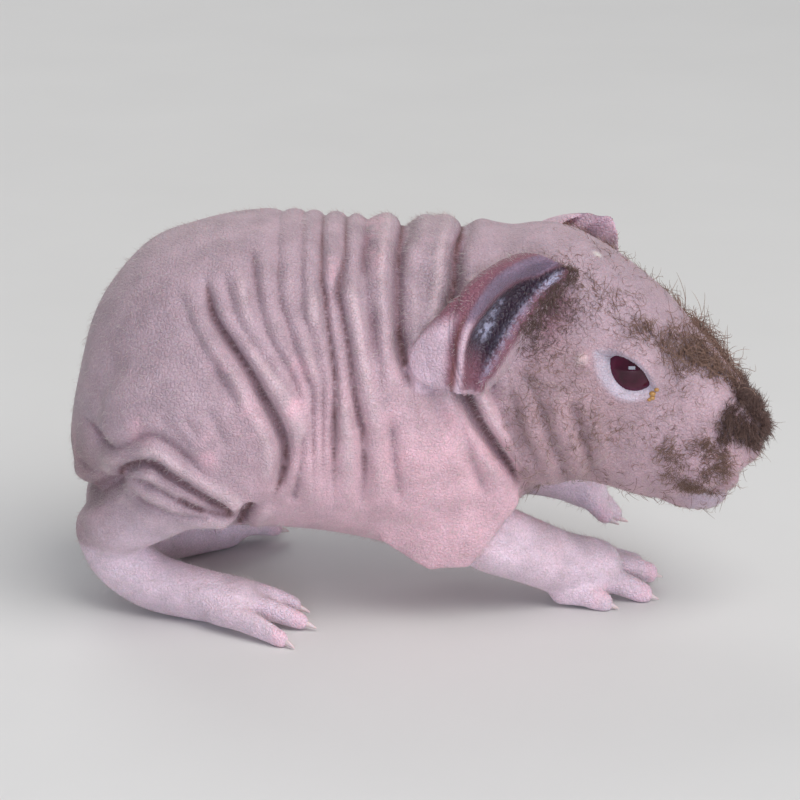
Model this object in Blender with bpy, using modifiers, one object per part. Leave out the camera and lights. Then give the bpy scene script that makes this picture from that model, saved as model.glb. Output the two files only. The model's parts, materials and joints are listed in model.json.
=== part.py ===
"""A hairless guinea pig pup, life size, low on its feet with its head stretched forward.

+X is where the nose points, -Y is the pup's right side and +Z is up. The tables are in millimetres.
"""

import math

import bmesh
import bpy
import numpy as np
from mathutils import Euler, Matrix, Vector

for old in list(bpy.data.objects):
    bpy.data.objects.remove(old)

MM = 0.001
GAP = 0.3
MASS_VOXEL = 0.5
SKIN_VOXEL = 0.42
LIMB_VOXEL = 0.4
SOFTENING = 40
FLESH_TRIANGLES = 6400
LIMB_TRIANGLES = 820
EAR_TRIANGLES = 800

# The head's own frame: its tip of the nose, turned toward the right side and tipped nose down.
HEAD_TIP = (52.0, -8.7, 28.0)
HEAD_YAW = -12.0
HEAD_PITCH = 22.0

EYE = (-21.1, 7.9, 3.5)
EYE_RADIUS = 4.2
LID = 0.7
LID_SOFTNESS = 0.9
EYE_CORNERS = ((-24.8, 4.5), (-17.4, 2.5))

EAR_THICKNESS = 0.95
# The left ear is pricked forward: how far it slips, and how far each of its columns leans.
EAR_SLIP = (2.0, 0.0, 1.9)
EAR_LEAN = (
    (2.0, -1.5, -4.0), (0, 0, 0), (0, 0, -0.4), (0, 0, -1.7), (0, 0, -2.3), (0, 0, -3.0),
    (0, 0, -3.2),
)

# The folds of the skin seen from the side: depth, width, and the x and z of points along each. The
# same fold runs on the far side, a little off.
FOLDS = (
    (1.5, 0.9, ((-27.4, 53), (-26.8, 50.6), (-25.9, 47.3), (-23.5, 44), (-20.8, 40.1), (-19.1, 36.9),
                (-17.8, 34.5), (-16.4, 31.1), (-16, 28.5), (-16.4, 25.3), (-17.2, 22.9), (-19, 18.5))),
    (0.7, 0.8, ((-24.5, 53), (-23.9, 50.8), (-22.9, 47.8), (-20.7, 44.7), (-19.1, 42.8), (-15, 37.6))),
    (0.8, 0.8, ((-20.8, 56), (-20.5, 54), (-19.7, 49.7), (-18.3, 45.4), (-17, 43.1), (-15.2, 40),
                (-14.1, 37.2), (-13.4, 33.5))),
    (0.9, 0.8, ((-16.9, 66), (-16.9, 51.5), (-15.6, 46.6), (-14.3, 42.7), (-13.2, 39.9), (-12.2, 37.1),
                (-12.1, 32.1), (-12.1, 17))),
    (0.8, 0.7, ((-13.6, 66), (-13.7, 49.6), (-12.3, 45.2), (-11.1, 40.6), (-10.7, 36.4), (-10.9, 18))),
    (1.3, 0.8, ((-10.6, 66), (-11, 53.1), (-10.5, 49.6), (-10.1, 46.4), (-9.4, 41.9), (-9, 37.7),
                (-9.2, 30.5), (-9.4, 16))),
    (1.3, 0.8, ((-7.8, 66), (-7.7, 55.1), (-8.6, 50.7), (-8.2, 48.3), (-7.5, 45.1), (-6.9, 41.1),
                (-6.4, 36.9), (-5.6, 32.6), (-5.2, 30.4), (-4.9, 17))),
    (0.6, 1.3, ((-4, 66), (-4.9, 54), (-4.2, 46.9), (-3.6, 40))),
    (1.4, 1.2, ((2.1, 66), (1.4, 58), (0, 54.9), (-0.3, 49.2), (0, 44.2), (1.4, 37))),
    (1.9, 1.1, ((11.5, 66), (10, 57.5), (8.1, 54.7), (7.7, 50.8), (7, 47), (7.4, 42), (8.4, 38.5),
                (9.4, 35.8), (11.2, 31.7), (14.1, 26.8), (16.3, 23), (18.5, 17))),
    (0.8, 0.9, ((12.1, 41), (12.6, 37), (13.6, 34.5), (14.7, 32.2), (16.6, 28), (18.4, 24))),
    (0.7, 0.9, ((19.4, 36), (20.3, 31.2), (21.7, 28.2), (22.8, 25), (24.4, 19.5))),
    (0.9, 0.8, ((24, 35.5), (24.4, 33.5), (25.6, 29.8), (26.7, 26.5), (28.6, 19.5))),
    (0.4, 1.8, ((-30.5, 50), (-29.9, 48), (-27.7, 43.8), (-25.6, 40.6), (-22, 34.5))),
    (0.8, 1.2, ((-46.5, 31), (-43.6, 30), (-41.6, 28.5), (-39.1, 28.7), (-36.2, 30.6), (-33.9, 31.1),
                (-30.6, 29), (-28.1, 26.6), (-25.5, 23.5))),
    (1.5, 0.8, ((-39.6, 22), (-39.3, 23.5), (-39, 25.1), (-36.9, 26.5), (-34.6, 26.8), (-32.4, 25.3),
                (-29.1, 23), (-25.2, 20), (-23.9, 18.5), (-22, 16.5))),
    (0.9, 0.7, ((-39.2, 24.4), (-36.4, 24), (-33.6, 22.8), (-30.8, 21), (-28, 19.6), (-24.5, 18.2),
                (-22.5, 17.2))),
    (0.7, 0.7, ((-38.5, 22.7), (-36.8, 20.7), (-35.1, 19.8), (-32.6, 18.9), (-29.2, 18.2),
                (-25.5, 18.4))),
    (2.4, 1.3, ((-53, 19.6), (-49, 20.2), (-45, 20.9), (-42.8, 21.6), (-40.6, 22.3), (-38.5, 23.2))),
    (0.35, 1.8, ((3, 45), (3.5, 42.7), (4.2, 39.3), (4.9, 35.8), (6, 32.8), (7.5, 28.5))),
)
KNEE_HOLLOW = (-20.3, 22.3)
MOUTH = ((3.0, -4.6), (0.6, -5.2), (-1.0, -6.2), (-2.6, -8.2), (-4.2, -10.4), (-6.4, -12.8))
NOSTRIL = (0.5, 1.7, -0.3)

# Where the flesh is parted: the x of each cut at the top of the neck and how far it leans forward
# for each millimetre down.
NECK_CUT = (-0.5, 57.0, 0.257)
HEAD_CUT = (9.3, 57.0, 0.222)
NECK_UNDERSIDE = 20.5
ANKLE = 10.9
WRIST = 23.0

# Along the trunk: x, top, bottom, half width, height of the widest line.
TRUNK = (
    (-47.9, 26.0, 23.0, 1.5, 24.5),
    (-46.5, 33.5, 18.0, 7.0, 25.5),
    (-43.3, 44.6, 14.0, 12.5, 27.0),
    (-36.3, 53.3, 12.5, 17.5, 29.0),
    (-29.0, 56.3, 12.5, 20.0, 30.0),
    (-21.8, 57.8, 12.5, 20.8, 31.0),
    (-14.5, 57.9, 12.0, 20.3, 32.0),
    (-7.3, 57.4, 10.8, 19.5, 32.0),
    (0.0, 57.1, 9.0, 18.8, 31.0),
    (7.3, 57.0, 8.0, 17.6, 31.0),
    (12.0, 56.5, 10.5, 16.5, 34.0),
    (17.0, 55.5, 15.5, 15.0, 37.0),
    (22.0, 53.0, 19.0, 12.0, 38.0),
    (26.0, 48.0, 26.0, 8.0, 39.0),
)

# Along the head in its own frame, from the nose back.
SKULL = (
    (0.8, 0.7, -2.0, 1.5, -0.7),
    (0.2, 2.2, -4.6, 3.2, -1.0),
    (-1.6, 3.6, -9.3, 4.8, -1.7),
    (-4.0, 4.9, -11.9, 6.2, -2.5),
    (-8.0, 6.9, -14.4, 8.0, -3.5),
    (-12.0, 9.0, -15.9, 9.5, -4.0),
    (-18.0, 11.6, -16.6, 11.5, -4.0),
    (-25.0, 13.8, -18.3, 13.3, -3.0),
    (-32.0, 15.2, -20.3, 14.4, -2.0),
    (-39.0, 15.2, -18.0, 13.8, -1.0),
    (-45.0, 12.0, -12.0, 10.5, 0.0),
    (-49.0, 5.0, -5.0, 5.0, 0.0),
)

# The skin apron over the upper arm, whose lower front edge hangs free.
APRON = (
    (17.4, 13.4, 18.6),
    (10.2, 13.4, 8.8),
    (4.0, 13.0, 8.4),
    (-3.0, 13.5, 13.0),
    (-4.0, 17.5, 30.0),
    (9.0, 16.8, 36.0),
    (16.0, 14.6, 30.0),
    (15.0, 6.0, 20.0),
    (8.0, 5.0, 10.5),
    (0.0, 6.0, 12.0),
)


def spline(rows, steps=6):
    """The rows with a smooth curve through them."""
    rows = np.array(rows, float)
    pad = np.vstack([2 * rows[0] - rows[1], rows, 2 * rows[-1] - rows[-2]])
    out = []
    for i in range(1, len(pad) - 2):
        a, b, c, d = pad[i - 1 : i + 3]
        for t in np.arange(steps) / steps:
            bend = (2 * a - 5 * b + 4 * c - d) * t * t + (3 * b - a - 3 * c + d) * t**3
            out.append(0.5 * (2 * b + (c - a) * t + bend))
    out.append(rows[-1])
    return np.array(out)


def loft(bm, rings, frame):
    """Bridges the rings and closes both ends."""
    loops = [[bm.verts.new(frame @ Vector(p) * MM) for p in ring] for ring in rings]
    for low, high in zip(loops, loops[1:]):
        for i in range(len(low)):
            j = (i + 1) % len(low)
            bm.faces.new((low[i], low[j], high[j], high[i]))
    for ring, last in ((loops[0], False), (loops[-1], True)):
        pole = bm.verts.new(sum((v.co for v in ring), Vector()) / len(ring))
        for i in range(len(ring)):
            j = (i + 1) % len(ring)
            bm.faces.new((pole, ring[i], ring[j]) if last else (pole, ring[j], ring[i]))


def trunk(bm, stations, frame, square=2.2, count=40):
    """A body of egg-shaped sections, each a little squarer than an ellipse."""
    turn = np.linspace(0, 2 * np.pi, count, endpoint=False)
    across = np.sign(np.cos(turn)) * np.abs(np.cos(turn)) ** (2 / square)
    rise = np.sign(np.sin(turn)) * np.abs(np.sin(turn)) ** (2 / square)
    rings = []
    for x, top, bottom, half, wide in spline(stations):
        z = np.where(rise > 0, wide + (top - wide) * rise, wide + (wide - bottom) * rise)
        rings.append(np.stack([np.full(count, x), half * across, z], 1))
    loft(bm, rings, frame)


def limb(bm, stations, frame=Matrix.Identity(4), count=20, grow=0.0):
    """A tube with round ends through rows of x, y, z, half width and half thickness."""
    rows = spline(stations, 5)
    rows[:, 3:5] += grow
    centre = rows[:, :3]
    way = np.gradient(centre, axis=0)
    way /= np.linalg.norm(way, axis=1)[:, None]
    turn = np.linspace(0, 2 * np.pi, count, endpoint=False)

    def ring(at, along, half, thick):
        side = np.cross((0, 0, 1.0), along)
        size = np.linalg.norm(side)
        side = side / size if size > 0.2 else np.array([0, 1.0, 0])
        up = np.cross(along, side)
        return at + np.outer(np.cos(turn) * half, side) + np.outer(np.sin(turn) * thick, up)

    rings = []
    for k in (0.3, 0.7, 0.93):
        back = min(rows[0, 3:5]) * math.sqrt(1 - k * k)
        rings.append(ring(centre[0] - way[0] * back, way[0], *(rows[0, 3:5] * k)))
    for at, along, (half, thick) in zip(centre, way, rows[:, 3:5]):
        rings.append(ring(at, along, half, thick))
    for k in (0.93, 0.7, 0.3):
        ahead = min(rows[-1, 3:5]) * math.sqrt(1 - k * k)
        rings.append(ring(centre[-1] + way[-1] * ahead, way[-1], *(rows[-1, 3:5] * k)))
    loft(bm, rings, frame)


def ball(bm, centre, radii, frame=Matrix.Identity(4), turn=(0, 0, 0), segments=32):
    spin = Euler([math.radians(a) for a in turn]).to_matrix().to_4x4()
    place = Matrix.Scale(MM, 4) @ frame @ Matrix.Translation(centre) @ spin
    place = place @ Matrix.Diagonal((*radii, 1))
    rings = segments // 2
    bmesh.ops.create_uvsphere(bm, u_segments=segments, v_segments=rings, radius=1, matrix=place)


def hull(bm, points):
    made = [bm.verts.new(Vector(p) * MM) for p in points]
    bmesh.ops.convex_hull(bm, input=made)


def head_frame():
    yaw = Matrix.Rotation(math.radians(HEAD_YAW), 4, "Z")
    pitch = Matrix.Rotation(math.radians(HEAD_PITCH), 4, "Y")
    return Matrix.Translation(HEAD_TIP) @ yaw @ pitch


def sided(points, side):
    return [(p[0], p[1] * side, *p[2:]) for p in points]


def flesh_masses(bm):
    """Everything that is one piece of flesh: trunk, neck, head, haunches and hind feet."""
    head = head_frame()
    trunk(bm, TRUNK, Matrix.Identity(4))
    trunk(bm, SKULL, head)
    ball(bm, (-8.5, 0, -11.4), (7.5, 4.6, 4.2), head)
    for side in (-1, 1):
        ball(bm, (-29, 10.5 * side, -8), (10, 4.5, 10), head)
        ball(bm, (-6.8, 3.9 * side, -6.2), (6.6, 4.0, 5.0), head)
        hull(bm, sided(APRON, side))
        hind_leg(bm, side)


def shank_rows(side):
    rows = (
        (-18.5, 14.5, 24.5, 5.0, 4.8),
        (-27.0, 13.8, 22.0, 5.2, 4.8),
        (-34.0, 11.6, 18.2, 5.0, 5.0),
        (-41.0, 8.6, 14.6, 4.6, 5.4),
    )
    return sided(rows, side)


def hind_foot_frame(side):
    turn, across = (-16.0, 6.3) if side < 0 else (40.0, 8.0)
    heel = Matrix.Translation((-41.5, across * side, 0))
    return heel @ Matrix.Rotation(math.radians(turn), 4, "Z")


# Root and tip of each toe, the hind ones in the foot's own frame.
HIND_TOES = (
    ((17.5, -2.6, 4.0), (26.4, -3.6, 2.3)),
    ((18.0, 0.3, 3.3), (28.6, 0.2, 1.6)),
    ((16.5, 3.2, 2.9), (27.8, 7.0, 1.4)),
)


def hind_leg(bm, side):
    ball(bm, (-28, 13.8 * side, 30), (14.5, 7.5, 14.5), turn=(0, 20, 0))
    limb(bm, shank_rows(side))
    frame = hind_foot_frame(side)
    limb(
        bm,
        sided(
            (
                (-0.8, 0.3, 13.2, 4.0, 5.0),
                (1.2, 0, 8.2, 4.0, 4.8),
                (5.5, 0, 5.3, 3.7, 4.2),
                (12.5, 0.2, 4.1, 3.9, 3.6),
                (19.0, 0.2, 3.5, 4.5, 3.2),
            ),
            side,
        ),
        frame,
    )
    for root, tip in HIND_TOES:
        limb(bm, sided(toe_rows(root, tip, 1.9, 1.2), side), frame, count=12)


def toe_rows(root, tip, thick, thin):
    middle = [(a + b) / 2 for a, b in zip(root, tip)]
    middle[2] += 0.35
    return [
        (*root, thick, thick),
        (*middle, (thick + thin) / 2 + 0.1, (thick + thin) / 2),
        (*tip, thin, thin),
    ]


FORE_TOES = (
    ((27.0, 2.2, 5.0), (35.0, 6.2, 2.6)),
    ((28.5, 0.6, 4.6), (37.0, 3.4, 2.2)),
    ((28.5, -2.4, 3.6), (35.8, -3.0, 1.5)),
    ((23.6, -4.9, 2.6), (29.8, -6.3, 1.4)),
)
FORE_LIMB = (
    (9.0, -8.8, 14.2, 3.6, 4.4),
    (13.0, -8.4, 12.0, 4.2, 5.2),
    (18.0, -6.6, 9.4, 4.1, 4.9),
    (23.5, -3.6, 6.3, 4.4, 4.6),
    (28.5, -1.2, 4.7, 4.6, 4.2),
)
FAR_LIMB = (
    (8.0, 9.0, 16.8, 3.8, 4.4),
    (14.0, 12.0, 16.0, 4.0, 4.4),
    (20.0, 14.4, 14.4, 3.7, 3.9),
    (25.0, 16.2, 12.4, 3.7, 3.5),
    (28.2, 17.2, 10.6, 3.9, 3.3),
)
FAR_TOES = (
    ((27.7, 14.8, 10.2), (31.0, 13.9, 7.2)),
    ((28.7, 16.4, 9.8), (32.5, 16.4, 6.5)),
    ((28.5, 18.4, 9.8), (31.8, 19.4, 6.5)),
    ((26.7, 19.8, 10.2), (29.0, 21.8, 7.4)),
)


def fore_limb(bm, side):
    limb(bm, FORE_LIMB if side < 0 else FAR_LIMB)
    for root, tip in FORE_TOES if side < 0 else FAR_TOES:
        limb(bm, toe_rows(root, tip, 1.9, 1.4), count=12)


# The ear as rows from its top front root down to its tip, in the head's frame, each row from the
# cheek across the front rim, the cup, the back rim and the crease to the back edge.
EAR = (
    ((-32.2, 8.5, 13.9), (-34.4, 13.8, 14.9), (-35.8, 11.2, 14.4), (-37.4, 13.8, 15.2),
     (-38.6, 13.2, 14.9), (-40.6, 12.2, 14.0), (-42.6, 9.5, 11.6)),
    ((-33.9, 10.8, 9.0), (-37.0, 15.8, 10.0), (-39.2, 11.6, 9.6), (-41.9, 17.2, 11.4),
     (-43.0, 16.6, 11.3), (-44.3, 16.4, 10.9), (-45.5, 15.0, 8.7)),
    ((-35.0, 12.4, 5.0), (-37.8, 17.4, 6.3), (-40.5, 12.8, 6.3), (-42.7, 19.2, 7.7),
     (-43.9, 18.4, 7.5), (-45.7, 18.8, 7.4), (-47.3, 17.6, 4.7)),
    ((-35.8, 13.4, 0.8), (-38.3, 18.6, 2.2), (-41.1, 14.0, 2.0), (-43.3, 20.2, 3.9),
     (-44.5, 19.4, 3.8), (-46.9, 20.0, 3.8), (-49.0, 19.0, 0.0)),
    ((-36.9, 14.4, -3.4), (-38.5, 19.4, -1.8), (-41.4, 15.6, -1.5), (-43.4, 20.6, 0.4),
     (-44.0, 19.8, 0.2), (-47.8, 20.2, -0.6), (-50.9, 19.2, -6.6)),
    ((-38.0, 15.6, -6.9), (-38.9, 19.6, -6.2), (-39.6, 18.6, -6.8), (-40.2, 20.2, -7.2),
     (-42.0, 19.8, -7.2), (-44.2, 19.8, -7.8), (-45.8, 19.2, -8.2)),
)


def new_object(name, bm):
    bmesh.ops.recalc_face_normals(bm, faces=bm.faces)
    mesh = bpy.data.meshes.new(name)
    bm.to_mesh(mesh)
    bm.free()
    obj = bpy.data.objects.new(name, mesh)
    PUP.objects.link(obj)
    return obj


def apply_modifiers(obj):
    """Replaces the object's mesh with what its modifiers make of it."""
    graph = bpy.context.evaluated_depsgraph_get()
    made = bpy.data.meshes.new_from_object(obj.evaluated_get(graph), depsgraph=graph)
    old = obj.data
    obj.modifiers.clear()
    obj.data = made
    bpy.data.meshes.remove(old)
    made.name = obj.name


def remesh(obj, voxel):
    modifier = obj.modifiers.new("Remesh", "REMESH")
    modifier.mode = "VOXEL"
    modifier.voxel_size = voxel * MM
    apply_modifiers(obj)


def coordinates(obj):
    flat = np.empty(len(obj.data.vertices) * 3)
    obj.data.vertices.foreach_get("co", flat)
    return flat.reshape(-1, 3) / MM


def normals(obj):
    flat = np.empty(len(obj.data.vertices) * 3)
    obj.data.vertices.foreach_get("normal", flat)
    return flat.reshape(-1, 3)


def move_to(obj, points):
    obj.data.vertices.foreach_set("co", (points * MM).astype(np.float32).ravel())
    obj.data.update()


def smooth(obj, weight, times, factor=0.5):
    """Smooths the object where the weight, one number a vertex, is above nothing."""
    group = obj.vertex_groups.new(name="Soft")
    for level in range(1, 11):
        chosen = np.nonzero(np.round(weight * 10) == level)[0]
        if len(chosen):
            group.add([int(i) for i in chosen], level / 10, "REPLACE")
    modifier = obj.modifiers.new("Smooth", "SMOOTH")
    modifier.factor = factor
    modifier.iterations = times
    modifier.vertex_group = group.name
    apply_modifiers(obj)
    obj.vertex_groups.clear()


def reduce_to(obj, triangles):
    obj.modifiers.new("Triangles", "TRIANGULATE")
    apply_modifiers(obj)
    count = len(obj.data.polygons)
    modifier = obj.modifiers.new("Decimate", "DECIMATE")
    modifier.decimate_type = "COLLAPSE"
    modifier.ratio = min(1.0, triangles / count)
    modifier.use_collapse_triangulate = True
    apply_modifiers(obj)


def boolean(obj, other, operation):
    modifier = obj.modifiers.new("Boolean", "BOOLEAN")
    modifier.operation = operation
    modifier.solver = "EXACT"
    modifier.object = other
    apply_modifiers(obj)


def copy_of(obj, name):
    new = bpy.data.objects.new(name, obj.data.copy())
    PUP.objects.link(new)
    return new


def keep_largest(obj):
    """Drops faces laid twice and every closed surface but the largest, as a cut leaves them."""
    bm = bmesh.new()
    bm.from_mesh(obj.data)
    bmesh.ops.triangulate(bm, faces=bm.faces)
    corners = {}
    for face in bm.faces:
        corners.setdefault(frozenset(face.verts), []).append(face)
    twice = [face for faces in corners.values() if len(faces) > 1 for face in faces]
    bmesh.ops.delete(bm, geom=twice, context="FACES")
    left = set(bm.faces)
    shells = []
    while left:
        shell = set()
        edge = [next(iter(left))]
        while edge:
            face = edge.pop()
            if face in shell:
                continue
            shell.add(face)
            edge.extend(f for e in face.edges for f in e.link_faces if f not in shell)
        left -= shell
        shells.append(shell)
    best = max(shells, key=lambda shell: sum(face.calc_area() for face in shell))
    drop = [face for face in bm.faces if face not in best]
    if drop:
        bmesh.ops.delete(bm, geom=drop, context="FACES")
    loose = [v for v in bm.verts if not v.link_faces]
    bmesh.ops.delete(bm, geom=loose, context="VERTS")
    bm.to_mesh(obj.data)
    bm.free()


def ease(value, low, high):
    """Zero below low, one above high, and a smooth step between."""
    t = np.clip((value - low) / (high - low), 0, 1)
    return t * t * (3 - 2 * t)


def cutter(name, build):
    """A closed body for cuts, kept out of the render."""
    bm = bmesh.new()
    build(bm)
    bmesh.ops.recalc_face_normals(bm, faces=bm.faces)
    mesh = bpy.data.meshes.new(name)
    bm.to_mesh(mesh)
    bm.free()
    obj = bpy.data.objects.new(name, mesh)
    CUTTERS.objects.link(obj)
    obj.display_type = "WIRE"
    obj.hide_render = True
    return obj


def box(bm, low, high, frame=Matrix.Identity(4)):
    centre = [(a + b) / 2 for a, b in zip(low, high)]
    size = [b - a for a, b in zip(low, high)]
    place = Matrix.Scale(MM, 4) @ frame @ Matrix.Translation(centre) @ Matrix.Diagonal((*size, 1))
    bmesh.ops.create_cube(bm, size=1, matrix=place)


def collection(name):
    made = bpy.data.collections.new(name)
    bpy.context.scene.collection.children.link(made)
    return made


def along(line, steps=5):
    return spline(np.array(line, float), steps)


def crease(flat, line, depth, width):
    """How far each point of the side view sinks into a fold along the line, or rises beside it."""
    path = along(line)
    nearest = np.full(len(flat), 1e9)
    place = np.zeros(len(flat))
    count = len(path) - 1
    for i in range(count):
        a = path[i]
        b = path[i + 1]
        way = b - a
        t = np.clip((flat - a) @ way / (way @ way), 0, 1)
        gap = np.linalg.norm(flat - a - np.outer(t, way), axis=1)
        closer = gap < nearest
        nearest[closer] = gap[closer]
        place[closer] = (i + t[closer]) / count
    fade = ease(place, 0.0, 0.22) * ease(1 - place, 0.0, 0.22)
    sink = -depth * np.exp(-nearest / width)
    rise = 0.28 * depth * np.exp(-(((nearest - 2.1) / 1.3) ** 2))
    return fade * (sink + rise)


def fold_skin(obj):
    points = coordinates(obj)
    facing = normals(obj)
    flat = points[:, (0, 2)].copy()
    flat[:, 0] += 0.8 * np.sin(points[:, 2] / 5) * ease(points[:, 1], 0, 14)
    shift = np.zeros(len(points))
    for depth, width, line in FOLDS:
        shift += crease(flat, line, depth, width)
    rear = 0.8 * np.maximum(-facing[:, 0], 0)
    outward = ease(np.abs(facing[:, 1]) + np.maximum(facing[:, 2], 0) + rear, 0.1, 0.6)
    shift *= outward * ease(points[:, 2], 9, 15)
    gap = np.linalg.norm(flat - KNEE_HOLLOW, axis=1)
    shift -= 1.8 * np.exp(-((gap / 2.2) ** 2)) * ease(np.abs(points[:, 1]), 8, 14)
    move_to(obj, points + facing * shift[:, None])


def shape_face(obj):
    """Lids over the eyeballs, the line of the mouth and the groove of the upper lip."""
    points = coordinates(obj)
    frame = np.array(head_frame())
    inner = (points - frame[:3, 3]) @ frame[:3, :3]
    facing = normals(obj) @ frame[:3, :3]
    front = ease(inner[:, 0], -11, -7)
    shift = crease(inner[:, (0, 2)], MOUTH, 1.1, 0.55) * front * ease(inner[:, 0] - inner[:, 2], 0, 3)
    lip = ease(inner[:, 0], -4, -2) * ease(inner[:, 2], -6.5, -5) * ease(-inner[:, 2], 0.5, 2)
    shift -= 0.5 * np.exp(-np.abs(inner[:, 1]) / 0.45) * lip
    inner += facing * shift[:, None]
    for side in (-1, 1):
        eye = np.array((EYE[0], EYE[1] * side, EYE[2]))
        away = inner - eye
        reach = np.linalg.norm(away, axis=1)
        soft = LID_SOFTNESS * np.log1p(np.exp((reach - EYE_RADIUS - LID) / LID_SOFTNESS))
        near = (reach < EYE_RADIUS + 5) & (away[:, 1] * side > -1.5)
        grown = (EYE_RADIUS + LID + soft) / reach
        inner[near] = eye + away[near] * grown[near][:, None]
    move_to(obj, inner @ frame[:3, :3].T + frame[:3, 3])


def almond(side, grow=0.0):
    """The outline of the eye's opening, from the back corner along the upper lid and back."""
    back = np.array(EYE_CORNERS[0])
    front = np.array(EYE_CORNERS[1])
    way = (front - back) / np.linalg.norm(front - back)
    up = np.array((-way[1], way[0]))
    middle = (front + back) / 2
    half = np.linalg.norm(front - back) / 2 + grow
    rows = []
    for t in np.linspace(-1, 1, 9):
        rows.append(middle + way * t * half + up * (1.8 + grow) * (1 - t * t) * (1 + 0.25 * t))
    for t in np.linspace(1, -1, 9)[1:-1]:
        rows.append(middle + way * t * half - up * (2.1 + grow) * (1 - t * t) * (1 - 0.25 * t))
    return [(x, z) for x, z in rows]


def prism(bm, outline, low, high, frame=Matrix.Identity(4)):
    """A closed body of one outline in x and z, from y low to y high."""
    rings = [[(x, y, z) for x, z in outline] for y in (low, high)]
    loops = [[bm.verts.new(frame @ Vector(p) * MM) for p in ring] for ring in rings]
    for i in range(len(outline)):
        j = (i + 1) % len(outline)
        bm.faces.new((loops[0][i], loops[0][j], loops[1][j], loops[1][i]))
    bm.faces.new(loops[0])
    bm.faces.new(loops[1])


def leaning(cut, z, gap=0.0):
    return cut[0] + (cut[1] - z) * cut[2] + gap


def head_cell(bm, gap):
    line = ((leaning(HEAD_CUT, 75, gap), 75), (leaning(HEAD_CUT, -5, gap), -5), (80, -5), (80, 75))
    prism(bm, line, -40, 40)


def neck_cell(bm, gap):
    floor = NECK_UNDERSIDE + gap
    top = (leaning(NECK_CUT, 75, gap), 75)
    line = (top, (leaning(NECK_CUT, floor, gap), floor), (50, floor), (50, 75))
    prism(bm, line, -40, 40)


def haunch_cell(bm, side, grow):
    radii = (14.8 + grow, 11 + grow, 19.5 + grow)
    ball(bm, (-31.0, 20.0 * side, 29.5), radii, segments=24)


def shank_cell(bm, side, grow):
    limb(bm, shank_rows(side), count=12, grow=1.4 + grow)


def foot_cell(bm, side, gap):
    low, high = sorted((1.5 * side, 45 * side))
    box(bm, (-60, low, -5), (-5, high, ANKLE - gap))


def split(obj, name, cell, grown):
    """Takes the part of the object inside the cell as a new object and leaves the rest."""
    part = copy_of(obj, name)
    boolean(part, cutter("cell_" + name, cell), "INTERSECT")
    keep_largest(part)
    boolean(obj, cutter("grown_" + name, grown), "DIFFERENCE")
    keep_largest(obj)
    return part


def swollen(obj, by):
    """A copy of the object grown outward, to trim what meets it."""
    fat = copy_of(obj, "swollen")
    PUP.objects.unlink(fat)
    CUTTERS.objects.link(fat)
    fat.display_type = "WIRE"
    fat.hide_render = True
    grow = fat.modifiers.new("Grow", "DISPLACE")
    grow.strength = by * MM
    grow.mid_level = 0
    apply_modifiers(fat)
    return fat


def stretch_to_floor(obj):
    points = coordinates(obj)
    points[:, 2] -= 0.6 * (1 - ease(points[:, 2], 0, 4))
    move_to(obj, points)


def claw(bm, tip, way, length=2.2):
    """A short tapered claw whose root is inside the end of a toe."""
    way = Vector(way).normalized()
    rows = []
    for t, radius in ((-0.5, 0.62), (0.15, 0.58), (0.6, 0.36), (1.0, 0.12)):
        at = Vector(tip) + way * length * t + Vector((0, 0, -0.35 * max(t, 0) ** 2))
        rows.append((*at, radius * 0.8, radius))
    turn = np.linspace(0, 2 * np.pi, 8, endpoint=False)
    side = np.cross((0, 0, 1.0), way)
    side /= np.linalg.norm(side)
    up = np.cross(way, side)
    rings = []
    for x, y, z, half, thick in rows:
        round_it = np.outer(np.cos(turn) * half, side) + np.outer(np.sin(turn) * thick, up)
        rings.append(np.array((x, y, z)) + round_it)
    loft(bm, rings, Matrix.Identity(4))


def add_claws(obj, toes):
    def build(bm):
        for root, tip in toes:
            way = (tip[0] - root[0], tip[1] - root[1], -0.12 * math.dist(root, tip))
            claw(bm, tip, way)

    boolean(obj, cutter("claws_" + obj.name, build), "UNION")
    keep_largest(obj)


def colour(obj, rgb, rough=0.55):
    material = bpy.data.materials.new(obj.name)
    material.use_nodes = True
    shader = material.node_tree.nodes["Principled BSDF"]
    shader.inputs["Base Color"].default_value = (*rgb, 1)
    shader.inputs["Roughness"].default_value = rough
    obj.data.materials.clear()
    obj.data.materials.append(material)


PUP = collection("skinny_pig")
CUTTERS = collection("cutters")
SIDES = ((-1, "right"), (1, "left"))

bm = bmesh.new()
flesh_masses(bm)
flesh = new_object("flesh", bm)
remesh(flesh, MASS_VOXEL)
points = coordinates(flesh)
frame = np.array(head_frame())
inner = (points - frame[:3, 3]) @ frame[:3, :3]
body = ease(points[:, 2], 9, 18)
behind = ease(-inner[:, 0], 20, 34)
head_weight = 0.4 + 0.2 * ease(-inner[:, 0], 3, 14)
apron = ease(points[:, 0], 2, 8) * ease(26 - points[:, 2], 0, 8)
weight = body * (behind + (1 - behind) * head_weight) * (1 - 0.7 * apron) + 0.08
smooth(flesh, np.clip(weight, 0, 1), SOFTENING)
smooth(flesh, np.ones(len(points)), 3)
fold_skin(flesh)
shape_face(flesh)
stretch_to_floor(flesh)
remesh(flesh, SKIN_VOXEL)
reduce_to(flesh, FLESH_TRIANGLES)
skin = swollen(flesh, GAP)

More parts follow.
